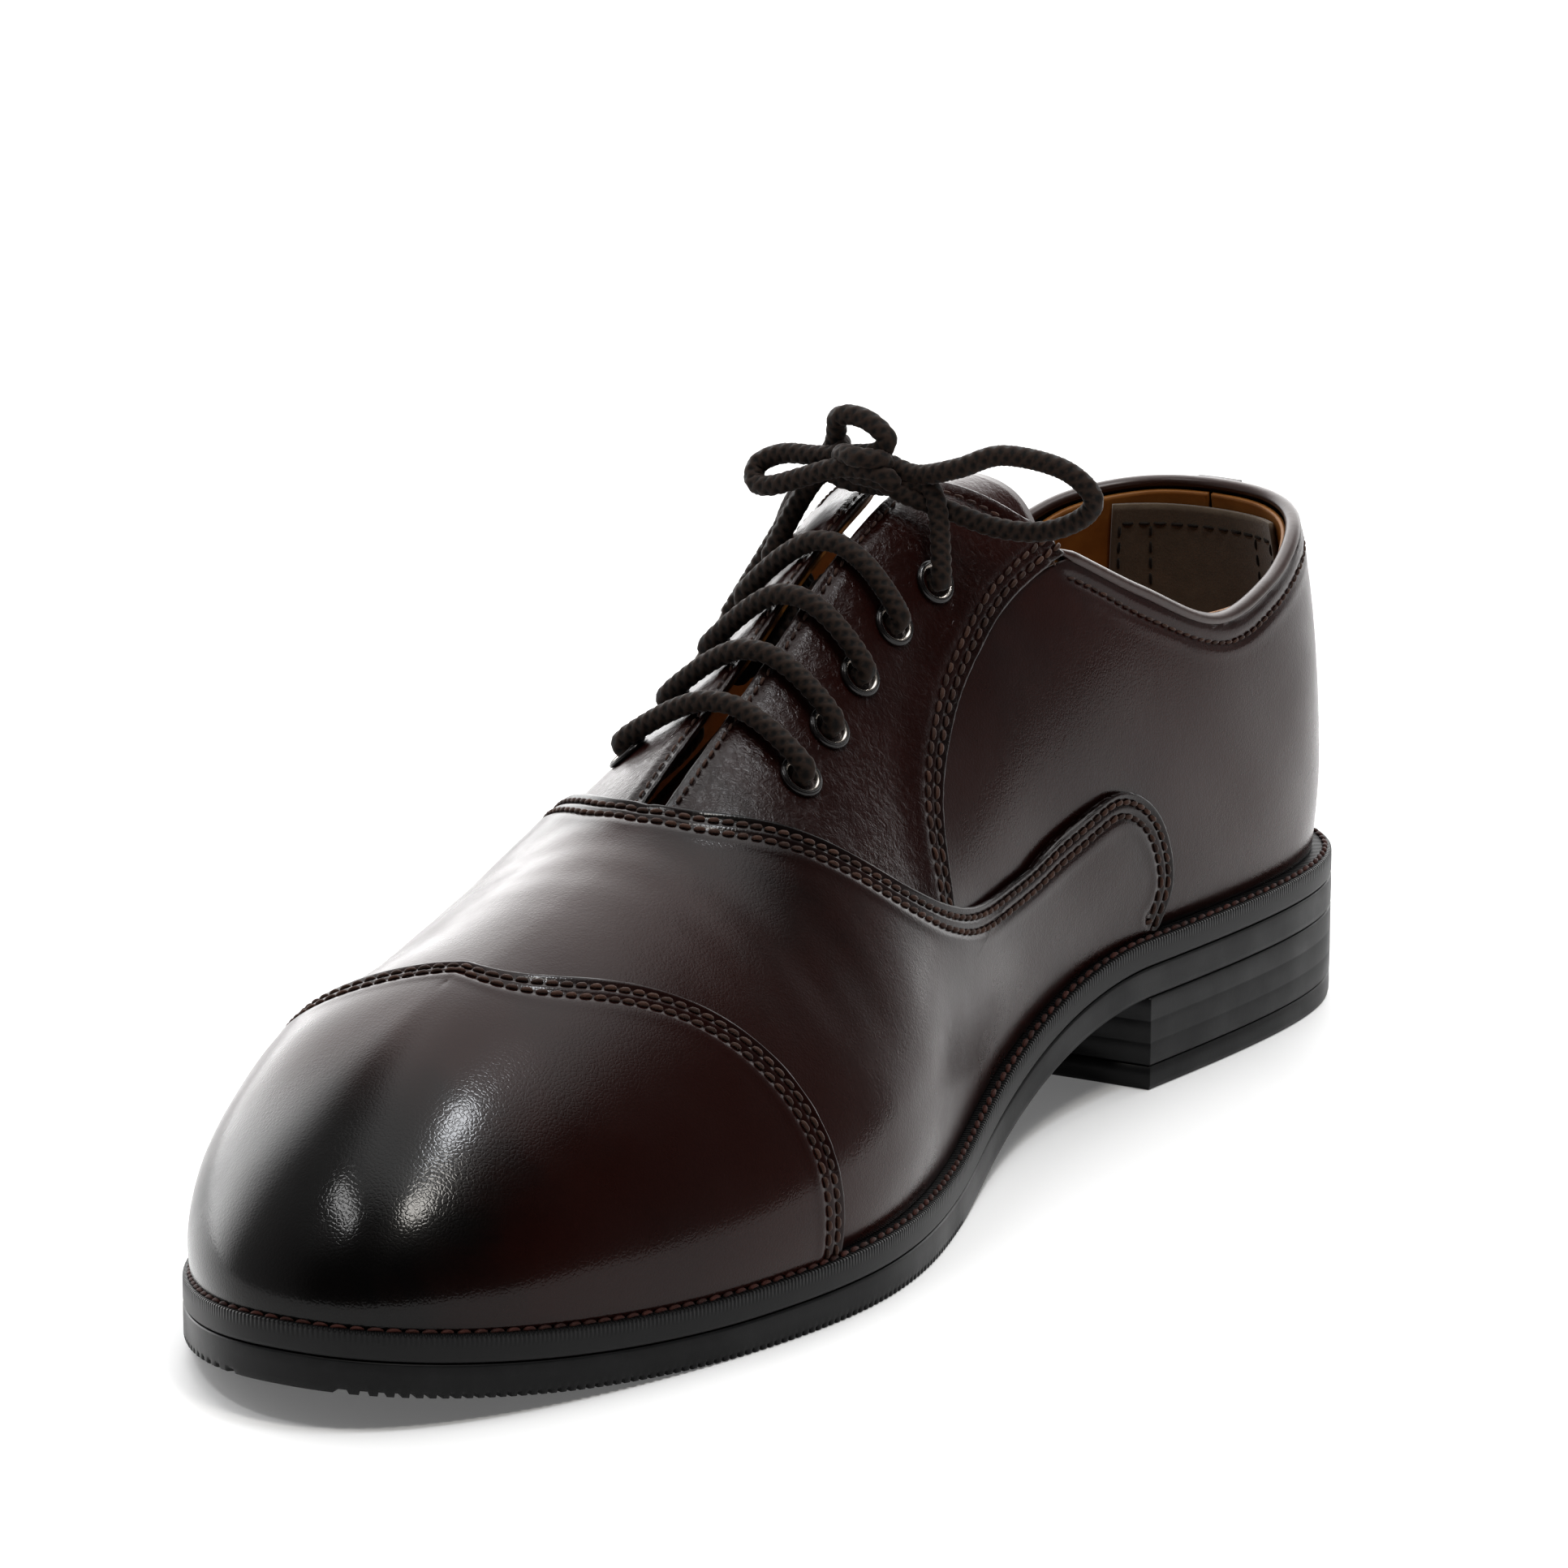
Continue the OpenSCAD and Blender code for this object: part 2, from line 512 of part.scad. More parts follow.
module welt() {
  color([.09, .08, .08])
    difference() {
      intersection() {
        plan(-.15);
        slab(function(s) above_outsole(s), function(s) z_seat(s), -2, 302);
      }
      plan(0, 9);
    }
}
module shank_shape(grow) {
  intersection() {
    slab(function(s) above_outsole(s) + 1 - grow, function(s) above_outsole(s) + 2.4 + grow,
         45 - grow, 170 + grow);
    translate([-2 - 7 - grow, -150, 0])
      cube([14 + 2 * grow, 150, 60]);
  }
}
module shank() {
  color([.6, .62, .64])
    shank_shape(0);
}
module cork_filler() {
  color([.62, .45, .28])
    difference() {
      intersection() {
        plan(0, 9.3);
        slab(function(s) above_outsole(s), function(s) z_seat(s), 0, 300);
      }
      shank_shape(.1);
    }
}
module insole_board() {
  color([.7, .62, .5])
    intersection() {
      plan(0, 3.9);
      slab(function(s) z_seat(s) + .1, function(s) z_seat(s) + 2, 0, 300);
    }
}
function pad_top(s) = z_seat(s) + 2.2 + 2.6 * (1 - ease(70, 104, s));
module heel_pad() {
  color([.85, .8, .55])
    intersection() {
      plan(0, 8);
      slab(function(s) z_seat(s) + 2.1, function(s) z_seat(s) + 4.7, 0, 70);
    }
}
module sock_liner() {
  color([.5, .33, .15])
    intersection() {
      plan(0, 4.2);
      slab(function(s) pad_top(s), function(s) pad_top(s) + 1.1, 0, 300);
    }
}
module heel_block() {
  color([.07, .07, .07])
    difference() {
      intersection() {
        plan(0);
        slab(function(s) 4.05, function(s) heel_height - .05, -4, heel_breast, 120);
      }
      nail_holes(1.1);
    }
}
module heel_top_piece() {
  cuts = [for (i = [0:6]) let (s = i * 3) each [[s, 0], [s + 1.4, 0], [s + 1.6, .7], [s + 2.9, .7]]];
  P = concat([for (q = concat(cuts, [[21, 0], [heel_breast, 0]])) [heel_y - q[0] * kl, q[1]]],
             [[heel_y - heel_breast * kl, 4], [heel_y + 4, 4], [heel_y + 4, 0]]);
  color([.06, .06, .06])
    intersection() {
      plan(0);
      rotate([90, 0, 90])
        linear_extrude(150, center = true)
          polygon(P);
    }
}
module heel_nails() {
  color([.7, .7, .68])
    intersection() {
      nail_holes(.95);
      translate([-50, -60, 4.8])
        cube([100, 100, heel_height + split - 6]);
    }
}
module welt_stitch() {
  P = [for (q = outline(-.62)) [q[0], q[1], z_seat((heel_y - q[1]) / kl) + .75]];
  color([.35, .16, .1])
    bar(P, .45, 6, 0, true);
}

toe_cap();
vamp();
quarter_medial();
quarter_lateral();
facing_medial();
facing_lateral();
heel_tab();
topline_binding();
quarter_lining_medial();
quarter_lining_lateral();
vamp_lining();
toe_puff();
heel_counter();
heel_grip();
tongue();
tongue_lining();
eyelets_medial();
eyelets_lateral();
lace();
aglets();
outsole_rear();
outsole_forepart();
welt();
shank();
cork_filler();
insole_board();
heel_pad();
sock_liner();
heel_block();
heel_top_piece();
heel_nails();
welt_stitch();
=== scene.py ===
"""Leather cap-toe oxford, right foot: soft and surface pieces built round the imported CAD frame.

Lengths in the shape functions are millimetres; MM turns them into metres when a mesh is made.
A place on the shoe is (u, v): u runs from the heel back 0 to the toe tip 1, and v runs over the
foot from the inner feather line 0 to the ridge 0.5 and down to the outer feather line 1.
"""
import math

import bmesh
import bpy
import numpy as np
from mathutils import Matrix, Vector
from mathutils.kdtree import KDTree


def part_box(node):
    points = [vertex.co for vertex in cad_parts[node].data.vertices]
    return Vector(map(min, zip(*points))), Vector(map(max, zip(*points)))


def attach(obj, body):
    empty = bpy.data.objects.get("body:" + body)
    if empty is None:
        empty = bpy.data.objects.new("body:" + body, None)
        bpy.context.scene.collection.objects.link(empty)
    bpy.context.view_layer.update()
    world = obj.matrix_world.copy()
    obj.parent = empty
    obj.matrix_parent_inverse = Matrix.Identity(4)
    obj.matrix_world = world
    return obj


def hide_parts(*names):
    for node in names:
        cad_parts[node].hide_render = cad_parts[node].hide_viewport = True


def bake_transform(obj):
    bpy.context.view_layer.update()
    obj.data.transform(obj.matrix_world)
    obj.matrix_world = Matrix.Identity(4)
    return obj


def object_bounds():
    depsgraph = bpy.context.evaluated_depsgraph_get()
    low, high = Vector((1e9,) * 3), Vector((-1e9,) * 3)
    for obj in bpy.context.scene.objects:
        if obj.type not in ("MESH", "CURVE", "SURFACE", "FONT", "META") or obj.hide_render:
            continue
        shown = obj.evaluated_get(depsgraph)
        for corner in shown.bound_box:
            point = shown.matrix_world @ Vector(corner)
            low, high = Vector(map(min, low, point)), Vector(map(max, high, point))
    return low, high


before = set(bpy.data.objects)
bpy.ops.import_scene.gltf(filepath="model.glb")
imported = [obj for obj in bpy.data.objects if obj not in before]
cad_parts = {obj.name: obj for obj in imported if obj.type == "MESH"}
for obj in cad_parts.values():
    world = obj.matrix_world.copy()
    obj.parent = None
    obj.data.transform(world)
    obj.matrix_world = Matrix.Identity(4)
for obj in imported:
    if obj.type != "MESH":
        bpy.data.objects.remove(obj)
cad_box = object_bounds()

MM = 0.001
REAR, FORE, TONGUE = "rearfoot", "forefoot", "tongue"

# Feather line where upper meets sole: distance from the heel back, inner x, outer x
ROWS = np.array([
    [4, 0, 0], [7, 15, -15], [20, 26.5, -27], [42, 29.5, -31], [75, 27.5, -32.5],
    [110, 23, -34.5], [145, 27, -40], [178, 39.5, -46.5], [205, 45, -48], [232, 41, -43],
    [255, 34, -35], [273, 27, -26.3], [286, 19, -15.5], [293, 11, -5.5], [294, 2.5, 2.5]])
RIBS = np.vstack([ROWS[1][[0, 2, 1]], ROWS, ROWS[-2][[0, 2, 1]]])
# Ridge height, shape exponent, side bulge and topline height, every 20 mm from the heel back
CREST = [106, 106, 106, 106, 106, 106, 102.5, 95, 83.5, 72.5, 62.5, 57.4, 52.4, 46.8, 41, 35]
ROUND = [.35, .35, .36, .4, .5, .6, .9, 1.25, 1.38, 1.38, 1.33, 1.31, 1.23, 1.14, 1.04, .95]
BULGE = [.05, .05, .05, .06, .08, .1, .1, .09, .08, .07, .06, .05, .045, .045, .035, .02]
TOPLINE = [82.3, 79.3, 73.5, 71.2, 79.5, 90, 99, 106]
STEP_S = 20

HEEL_HEIGHT = 15.5
SOLE_T = 9.5
OUTSOLE_T = 5.1
TOE_SPRING = 6.5
BREAST = 87
SEAT_MARGIN = 3.4
WELT_MARGIN = 4.2
TREAD_PITCH = 1.5
TREAD_DEPTH = .6
TREAD_START = 166
TREAD_END = 297
HEEL_TEETH_END = 20.5
SLIT_HALF = 1.7
GAP = .4
LEATHER = 1.0
LINING = .8
HEEL_BACK_S = 5 - SEAT_MARGIN
HEEL_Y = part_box("outsole_rear")[1].y / MM + HEEL_BACK_S

# Height of each layer's outer face above the last
OUT_QUARTER = .1
OUT_VAMP = OUT_QUARTER + GAP + LEATHER
OUT_CAP = OUT_VAMP + GAP + LEATHER
OUT_LINING = OUT_QUARTER - LEATHER - GAP
COUNTER_T = .85
BOARD_T = 2
SOCK_T = 1.1
LACE_D = 2.8
BRAID_STRANDS = 4
BRAID_PITCH = 3.6
BRAID_HEIGHT = .17
LACE_UNDER = OUT_LINING - LINING - 1.45 - LACE_D / 2
LACE_OVER = OUT_QUARTER + .3 + LACE_D / 2
OUT_TONGUE = LACE_UNDER - LACE_D / 2 - .5
EYELETS = 5
EYE_V = .337
EYELET_OUTER_R = 3.6
EYELET_HOLE_R = 2.3

SEED = 7
rng = np.random.default_rng(SEED)


# ---------- small maths ----------
def ease(a, b, x):
    t = np.clip((np.asarray(x, float) - a) / (b - a), 0, 1)
    return t * t * (3 - 2 * t)


def smax(a, b, k):
    return (a + b + np.sqrt((a - b) ** 2 + k * k)) / 2


def smin(a, b, k):
    return (a + b - np.sqrt((a - b) ** 2 + k * k)) / 2


def unit(a):
    return a / np.maximum(np.linalg.norm(a, axis=-1, keepdims=True), 1e-9)


def thru(values, t):
    """Catmull-Rom curve through equally spaced values, numbers or rows."""
    values = np.asarray(values, float)
    n = len(values) - 1
    c = np.clip(np.asarray(t, float), 0, n - 1e-6)
    i = np.floor(c).astype(int)
    f = c - i
    if values.ndim > 1:
        f = f[..., None]
    a, b = values[np.maximum(i - 1, 0)], values[i]
    d, e = values[i + 1], values[np.minimum(i + 2, n)]
    return (2 * b + (d - a) * f + (2 * a - 5 * b + 4 * d - e) * f * f
            + (3 * b - a - 3 * d + e) * f ** 3) / 2


def at(values, s):
    return thru(values, np.asarray(s, float) / STEP_S)


# ---------- the last ----------
def rib(u):
    t = np.clip(np.asarray(u, float), 0, 1) * (len(ROWS) - 1)
    i = np.clip(np.floor(t).astype(int), 0, len(ROWS) - 2)
    f = (t - i)[..., None]
    return ((1 - f) ** 3 * RIBS[i] + (3 * f ** 3 - 6 * f ** 2 + 4) * RIBS[i + 1]
            + (-3 * f ** 3 + 3 * f ** 2 + 3 * f + 1) * RIBS[i + 2] + f ** 3 * RIBS[i + 3]) / 6


def z_low(s):
    lift = TOE_SPRING * (np.maximum(0, s - 235) / 65) ** 2
    return lift + HEEL_HEIGHT * (1 - ease(BREAST - 1, BREAST + 81, s))


def z_seat(s):
    return z_low(s) + SOLE_T


def power(s, t, more):
    """Exponent of the section; it comes back to a plain ellipse at the ridge so the top is round."""
    return 1 + (at(ROUND, s) * (1 + more) - 1) * (1 - t ** 6)


def last(u, v):
    u, v = np.broadcast_arrays(np.asarray(u, float), np.asarray(v, float))
    v = np.where((u < 0) | (u > 1), 1 - v, v)
    u = np.where(u < 0, -u, np.where(u > 1, 2 - u, u))
    r = rib(u)
    s = r[..., 0]
    t = np.clip(np.minimum(v, 1 - v) * 2, 0, 1)
    px = np.where(v < .5, r[..., 1], r[..., 2])
    q = smin(smax(s, 34, 16), 250, 16)
    w = np.minimum(1.6 * t, 1)
    lean = np.where(v < .5, 0, .25 * ease(90, 125, s) * (1 - ease(142, 190, s))
                    - .3 * ease(222, 256, s) * (1 - ease(262, 293, s)))
    swell = 1 + 1.6 * at(BULGE, s) * np.sin(np.pi * w) * (1 - w)
    f = np.maximum(np.cos(np.pi / 2 * t), 0) ** power(s, t, lean) * swell
    ps = q + (s - q) * f
    z0 = z_seat(s)
    z = z0 + (at(CREST, ps) - z0) * np.sin(np.pi / 2 * t)
    return np.stack([px * f, HEEL_Y - ps, z], -1)


def normal(u, v):
    across = last(u, np.minimum(v + .015, 1)) - last(u, np.maximum(v - .015, 0))
    run = last(u + .006, v) - last(u - .006, v)
    return unit(np.cross(across, run) + np.array([0, 0, .4]))


def ripple(p):
    """Slight unevenness of the leather over the last, in millimetres."""
    x, y, z = p[..., 0], p[..., 1], p[..., 2]
    s = HEEL_Y - y
    soft = (.12 * np.sin(x / 9 + y / 17 + 1.3) * np.sin(y / 13 - z / 11)
            + .07 * np.sin(x / 5 - y / 7 + z / 6) + .05 * np.sin(y / 4.1 + z / 5.3 + x / 8))
    flex = np.exp(-((s - 200) / 17) ** 2) * ease(32, 46, z)
    folds = .05 * flex * np.sin(s / 1.55 + x / 14 + .8 * np.sin(x / 9))
    return soft * ease(0, 14, z - z_seat(s)) + folds


def skin(u, v, off):
    """Point at height off above the last, never lower than just above the welt."""
    p = last(u, v)
    p = p + (np.asarray(off, float) + ripple(p))[..., None] * normal(u, v)
    p[..., 2] = np.maximum(p[..., 2], z_seat(HEEL_Y - p[..., 1]) + .1)
    return p


def top_v(u):
    s = rib(u)[..., 0]
    z0 = z_seat(s)
    return np.arcsin(np.minimum((at(TOPLINE, s) - z0) / (at(CREST, s) - z0), .98)) / np.pi


def slit_v(u):
    r = rib(u)
    t = .9
    for _ in range(4):
        t = np.arccos((SLIT_HALF / r[..., 1]) ** (1 / power(r[..., 0], t, 0))) / (np.pi / 2)
    return t / 2


# ---------- border curves of the upper, inner side ----------
def pts(*rows):
    return np.array(rows, float)


FACING_SEAM = pts((.333, top_v(.333)), (.365, .276), (.39, .254), (.41, .23), (.43, .194),
                  (.444, .13))
FACING_SLIT = np.array([[u, slit_v(u)] for u in (.372, .41, .45, .5, .55)])
FACING_TOP = pts((.333, top_v(.333)), (.345, .345), (.357, .4), (.372, slit_v(.372)))
FACING_LOW = pts((.444, .13), (.479, .19), (.505, .27), (.53, .37), (.55, slit_v(.55)))
QUARTER_BACK = np.array([[.0004, top_v(0) * i / 4] for i in range(5)])
QUARTER_TOP = np.array([[u, top_v(u)] for u in np.linspace(.0004, .33, 9)])
QUARTER_FRONT = pts((.322, 0), (.337, .05), (.392, .072), (.444, .118), (.436, .2), (.416, .238),
                    (.396, .262), (.371, .286), (.333, top_v(.333)))
VAMP_EDGE = pts((.299, 0), (.292, .035), (.303, .08), (.325, .104), (.355, .101), (.39, .104),
                (.432, .13), (.474, .203), (.511, .32), (.534, .42), (.541, .5))
VAMP_LINING_EDGE = pts((.33, 0), (.345, .035), (.4, .052), (.462, .1), (.5, .19), (.529, .28),
                       (.555, .38), (.572, .5))


def cap_u(v):
    return .597 + .106 * np.exp(-((np.asarray(v, float) - .5) / .19) ** 2) + cap_skew(v)


def cap_skew(v):
    """The cap seam runs further forward on the outer side."""
    return .06 * ease(.5, .72, v)


def eye_u(i):
    return .489 - .024 * i


# ---------- grids ----------
def curve(rows, t):
    """Point of a border curve at share t of its length in rows."""
    return thru(rows, np.asarray(t, float) * (len(rows) - 1))


def graded(length, fine_start=True, fine_end=True, coarse=1.4):
    """Positions 0..1 with lines close together near the ends that carry an edge."""
    near = np.array([0, .1, .22, .36, .52, .72, .95, 1.2, 1.5, 1.8, 2.1, 2.4, 2.7, 3.05, 3.45,
                     3.9, 4.4, 5.0, 5.8, 6.8, 8.0])
    lo = near if fine_start else np.array([0.])
    hi = length - (near if fine_end else np.array([0.]))[::-1]
    n = max(int((hi[0] - lo[-1]) / coarse), 2)
    mid = np.linspace(lo[-1], hi[0], n + 1)[1:-1]
    return np.concatenate([lo, mid, hi]) / length


def coons(back, front, low, top, ga, gb):
    """(u, v) grid between four border curves; ga and gb are positions 0..1 along and across."""
    a, b = ga[:, None, None], gb[None, :, None]
    sides = (1 - a) * curve(back, gb)[None] + a * curve(front, gb)[None]
    ends = (1 - b) * curve(low, ga)[:, None] + b * curve(top, ga)[:, None]
    corners = ((1 - a) * (1 - b) * back[0] + a * (1 - b) * front[0]
               + (1 - a) * b * back[-1] + a * b * front[-1])
    return sides + ends - corners


def both_sides(edge, b):
    """Border curve given for the inner side, followed over the ridge to the outer side."""
    h = np.where(b <= .5, 2 * b, 2 - 2 * b)
    p = curve(edge, h)
    return np.stack([p[..., 0], np.where(b <= .5, p[..., 1], 1 - p[..., 1])], -1)


def outer_side(uv):
    out = np.array(uv, float)
    out[..., 1] = 1 - out[..., 1]
    return out


def grid_faces(rows, cols, start=0, wrap=False):
    i, j = np.meshgrid(np.arange(rows - 1), np.arange(cols if wrap else cols - 1), indexing="ij")
    k = (j + 1) % cols
    quads = np.stack([i * cols + j, i * cols + k, (i + 1) * cols + k, (i + 1) * cols + j], -1)
    return (quads.reshape(-1, 4) + start).tolist()


def hoop_faces(rows, cols):
    """Faces of a profile carried round a ring, closed both ways."""
    last_row = (rows - 1) * cols
    joint = [[last_row + j, last_row + (j + 1) % cols, (j + 1) % cols, j] for j in range(cols)]
    return grid_faces(rows, cols, wrap=True) + joint


def slab_faces(rows, cols, fold=False):
    """Faces of two grids, the lower one numbered after the upper one, joined along their rims."""
    n = rows * cols
    faces = grid_faces(rows, cols) + grid_faces(rows, cols, n)
    rim = [np.arange(rows) * cols, np.arange(rows) * cols + cols - 1, np.arange(cols)]
    if not fold:
        rim.append(np.arange(cols) + (rows - 1) * cols)
    for line in rim:
        a, b = line[:-1], line[1:]
        faces += np.stack([a, b, b + n, a + n], -1).tolist()
    return faces


# ---------- mesh objects ----------
def show(obj):
    bpy.context.scene.collection.objects.link(obj)
    return obj


class Bag:
    """Points, faces and point values of one piece."""

    def __init__(self):
        self.points, self.faces, self.values, self.count = [], [], {}, 0

    def add(self, points, faces, **values):
        points = np.asarray(points, float).reshape(-1, 3)
        self.faces += [[i + self.count for i in f] for f in faces]
        self.points.append(points)
        for key, val in values.items():
            self.values.setdefault(key, []).append(np.broadcast_to(np.ravel(val), len(points)))
        self.count += len(points)

    def make(self, name, material, weld=True):
        mesh = bpy.data.meshes.new(name)
        mesh.from_pydata((np.vstack(self.points) * MM).tolist(), [], self.faces)
        for key, parts in self.values.items():
            layer = mesh.attributes.new(key, "FLOAT", "POINT")
            layer.data.foreach_set("value", np.concatenate(parts).astype(np.float32))
        bm = bmesh.new()
        bm.from_mesh(mesh)
        if weld:
            bmesh.ops.remove_doubles(bm, verts=bm.verts, dist=.002 * MM)
        bmesh.ops.recalc_face_normals(bm, faces=bm.faces)
        bm.to_mesh(mesh)
        bm.free()
        mesh.shade_smooth()
        mesh.materials.append(material)
        return show(bpy.data.objects.new(name, mesh))


def place(obj, nodes, body=None):
    """The piece stands for CAD nodes and rides one body, or has its transform baked into its mesh when body
    is None.
    """
    if nodes:
        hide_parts(*nodes)
    if body:
        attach(obj, body)
    else:
        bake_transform(obj)
    return obj


def nearest(points, path):
    """Distance of every point to a list of paths of points, in millimetres."""
    tree = KDTree(len(path))
    for i, p in enumerate(path):
        tree.insert(p, i)
    tree.balance()
    flat = points.reshape(-1, 3)
    return np.array([tree.find(p)[2] for p in flat]).reshape(points.shape[:-1])


def arc(points):
    step = np.linalg.norm(np.diff(points, axis=0), axis=1)
    return np.concatenate([[0], np.cumsum(step)])


def read(rows, length, where):
    """Rows of a path read at the given lengths along it."""
    return np.stack([np.interp(where, length, col) for col in rows.T], -1)


def dense(uv, off, spacing=.3):
    """(u, v) curve resampled at an even spacing in millimetres."""
    uv = np.asarray(uv, float)
    fine = curve(uv, np.linspace(0, 1, 400))
    length = arc(skin(fine[:, 0], fine[:, 1], off))
    n = max(int(length[-1] / spacing), 2)
    return read(fine, length, np.linspace(0, length[-1], n + 1))


def inset(uv, d):
    """(u, v) curve moved sideways on the surface by d millimetres, to the left of its run."""
    u, v = uv[:, 0], uv[:, 1]
    h = .002
    pu = (last(u + h, v) - last(u - h, v)) / (2 * h)
    pv = (last(u, v + h) - last(u, v - h)) / (2 * h)
    run = np.gradient(last(u, v), axis=0)
    side = unit(np.cross(normal(u, v), run)) * np.reshape(d, (-1, 1))
    a, b, c = (pu * pu).sum(1), (pu * pv).sum(1), (pv * pv).sum(1)
    e, f = (pu * side).sum(1), (pv * side).sum(1)
    det = a * c - b * b
    return np.stack([u + (e * c - f * b) / det, v + (a * f - b * e) / det], -1)


# ---------- threads ----------
def stitch_shape():
    """Unit stitch: a short rounded capsule along x with z up."""
    stations = [(-.5, .3, -.35), (-.42, .75, -.12), (-.22, 1, .05), (0, 1, .1), (.22, 1, .05),
                (.42, .75, -.12), (.5, .3, -.35)]
    k = 8
    ring = np.linspace(0, 2 * np.pi, k, endpoint=False)
    points = [[x, r * math.cos(a) / 2, r * math.sin(a) / 2 + z] for x, r, z in stations for a in ring]
    faces = grid_faces(len(stations), k, wrap=True)
    faces += [list(range(k)), [len(points) - 1 - i for i in range(k)]]
    return np.array(points), faces


STITCH = stitch_shape()


def sew(bag, uv, off, pitch=2.2, length=1.85, width=.8, height=.6, lean=8):
    """Adds a row of single stitches along a (u, v) curve."""
    line = dense(uv, off, .2)
    p = skin(line[:, 0], line[:, 1], off)
    sew_line(bag, p, lambda where: normal(*read(line, arc(p), where).T), pitch, length, width, height, lean)


def sew_line(bag, p, up_at, pitch=2.6, length=2.1, width=.55, height=.45, lean=0):
    """Adds stitches along a 3-D path; up_at gives the direction away from the leather at a length."""
    run_len = arc(p)
    n = max(int(run_len[-1] / pitch), 1)
    where = (np.arange(n) + .5) * run_len[-1] / n
    half = .4
    run = unit(read(p, run_len, where + half) - read(p, run_len, where - half))
    side = unit(np.cross(up_at(where), run))
    up = np.cross(run, side)
    shape, faces = STITCH
    pos = read(p, run_len, where)
    for c, x, y, z in zip(pos, run, side, up):
        turn = math.radians(lean + rng.normal(0, 3))
        xr = x * math.cos(turn) + y * math.sin(turn)
        yr = y * math.cos(turn) - x * math.sin(turn)
        size = 1 + rng.normal(0, .05)
        bag.add(c + shape[:, :1] * xr * length * size + shape[:, 1:2] * yr * width
                + shape[:, 2:] * z * height, faces, tone=rng.uniform(0, 1))


# ---------- materials ----------
class Graph:
    """A node tree; inputs take numbers, colours or other nodes' outputs."""

    def __init__(self, tree):
        self.tree = tree

    def node(self, kind, **inputs):
        n = self.tree.nodes.new(kind)
        for key, val in inputs.items():
            self.set(n, key.replace("_", " "), val)
        return n

    def set(self, n, key, val):
        if isinstance(val, bpy.types.NodeSocket):
            self.tree.links.new(val, n.inputs[key])
        else:
            n.inputs[key].default_value = (*val, 1) if isinstance(val, tuple) else val

    def math(self, op, a, b=0.):
        n = self.node("ShaderNodeMath")
        n.operation = op
        self.set(n, 0, a)
        self.set(n, 1, b)
        return n.outputs[0]

    def span(self, x, lo, hi, to_lo=0., to_hi=1.):
        n = self.tree.nodes.new("ShaderNodeMapRange")
        n.interpolation_type = "SMOOTHSTEP"
        for key, val in (("Value", x), ("From Min", lo), ("From Max", hi), ("To Min", to_lo),
                         ("To Max", to_hi)):
            self.set(n, key, val)
        return n.outputs[0]


class Mat(Graph):
    """A surface material built a node at a time."""

    def __init__(self, name):
        self.m = bpy.data.materials.new(name)
        self.m.use_nodes = True
        super().__init__(self.m.node_tree)
        self.tree.nodes.clear()
        self.bsdf = self.node("ShaderNodeBsdfPrincipled")
        self.node("ShaderNodeOutputMaterial", Surface=self.bsdf.outputs[0])
        self.coord = self.node("ShaderNodeTexCoord").outputs["Object"]

    def value(self, name):
        n = self.node("ShaderNodeAttribute")
        n.attribute_name = name
        return n.outputs["Fac"]

    def noise(self, scale, detail=3, rough=.5, distortion=0):
        n = self.node("ShaderNodeTexNoise", Scale=scale, Detail=detail, Roughness=rough,
                      Distortion=distortion, Vector=self.coord)
        return n.outputs["Fac"]

    def cells(self, scale, feature="DISTANCE_TO_EDGE"):
        n = self.node("ShaderNodeTexVoronoi", Vector=self.coord, Scale=scale)
        n.feature = feature
        return n.outputs["Distance"]

    def blend(self, a, share_a, b, share_b):
        """Weighted sum of two values."""
        return self.math("ADD", self.math("MULTIPLY", a, share_a), self.math("MULTIPLY", b, share_b))

    def mix(self, fac, a, b):
        n = self.node("ShaderNodeMix")
        n.data_type = "RGBA"
        factor_in, a_in, b_in, color_out = 0, 6, 7, 2
        for i, val in ((factor_in, fac), (a_in, a), (b_in, b)):
            self.set(n, i, val)
        return n.outputs[color_out]

    def bump(self, height, strength, distance, under=None):
        n = self.node("ShaderNodeBump", Height=height, Strength=strength, Distance=distance)
        if under is not None:
            self.set(n, "Normal", under)
        return n.outputs[0]

    def finish(self, **inputs):
        for key, val in inputs.items():
            self.set(self.bsdf, key.replace("_", " "), val)
        return self.m


BURGUNDY = (.024, .0046, .0027)
DEEP_BURGUNDY = (.0155, .0035, .0024)
BURNISHED = (.0017, .0013, .0012)
RUBBER_BLACK = (.0038, .0038, .0042)
RUBBER_DUSTY = (.0085, .0085, .0092)


def leather_material():
    """Polished burgundy-brown calf, darker where the burn value is high; it is blackened by hand at the toe
    tip and seams.
    """
    m = Mat("polished_leather")
    cloud = m.noise(22, 4, .55)
    streak = m.noise(70, 5, .6, .6)
    tone = m.blend(cloud, .65, streak, .35)
    burn = m.math("ADD", m.value("burn"), m.span(tone, .42, .68, -.12, .3))
    warm = m.mix(m.span(m.noise(9, 2), .35, .65), BURGUNDY, DEEP_BURGUNDY)
    color = m.mix(m.span(burn, 0, 1), warm, BURNISHED)
    pores = m.cells(1500)
    grain = m.noise(900, 3, .6)
    fine = m.bump(m.math("ADD", m.span(pores, 0, .25), grain), .07, .12 * MM)
    wrinkle = m.bump(m.noise(620, 4, .6, 2.2), m.value("crease"), .22 * MM, fine)
    crease = m.bump(m.noise(130, 6, .62, 1.6), m.value("crease"), .35 * MM, wrinkle)
    dull = m.span(m.noise(45, 4, .6), .3, .7, .24, .36)
    return m.finish(Base_Color=color, Roughness=dull, Normal=crease, Coat_Weight=.36,
                    Coat_Roughness=.1, Coat_Normal=m.bump(m.noise(260, 3), .05, .2 * MM, crease),
                    Specular_IOR_Level=.1)


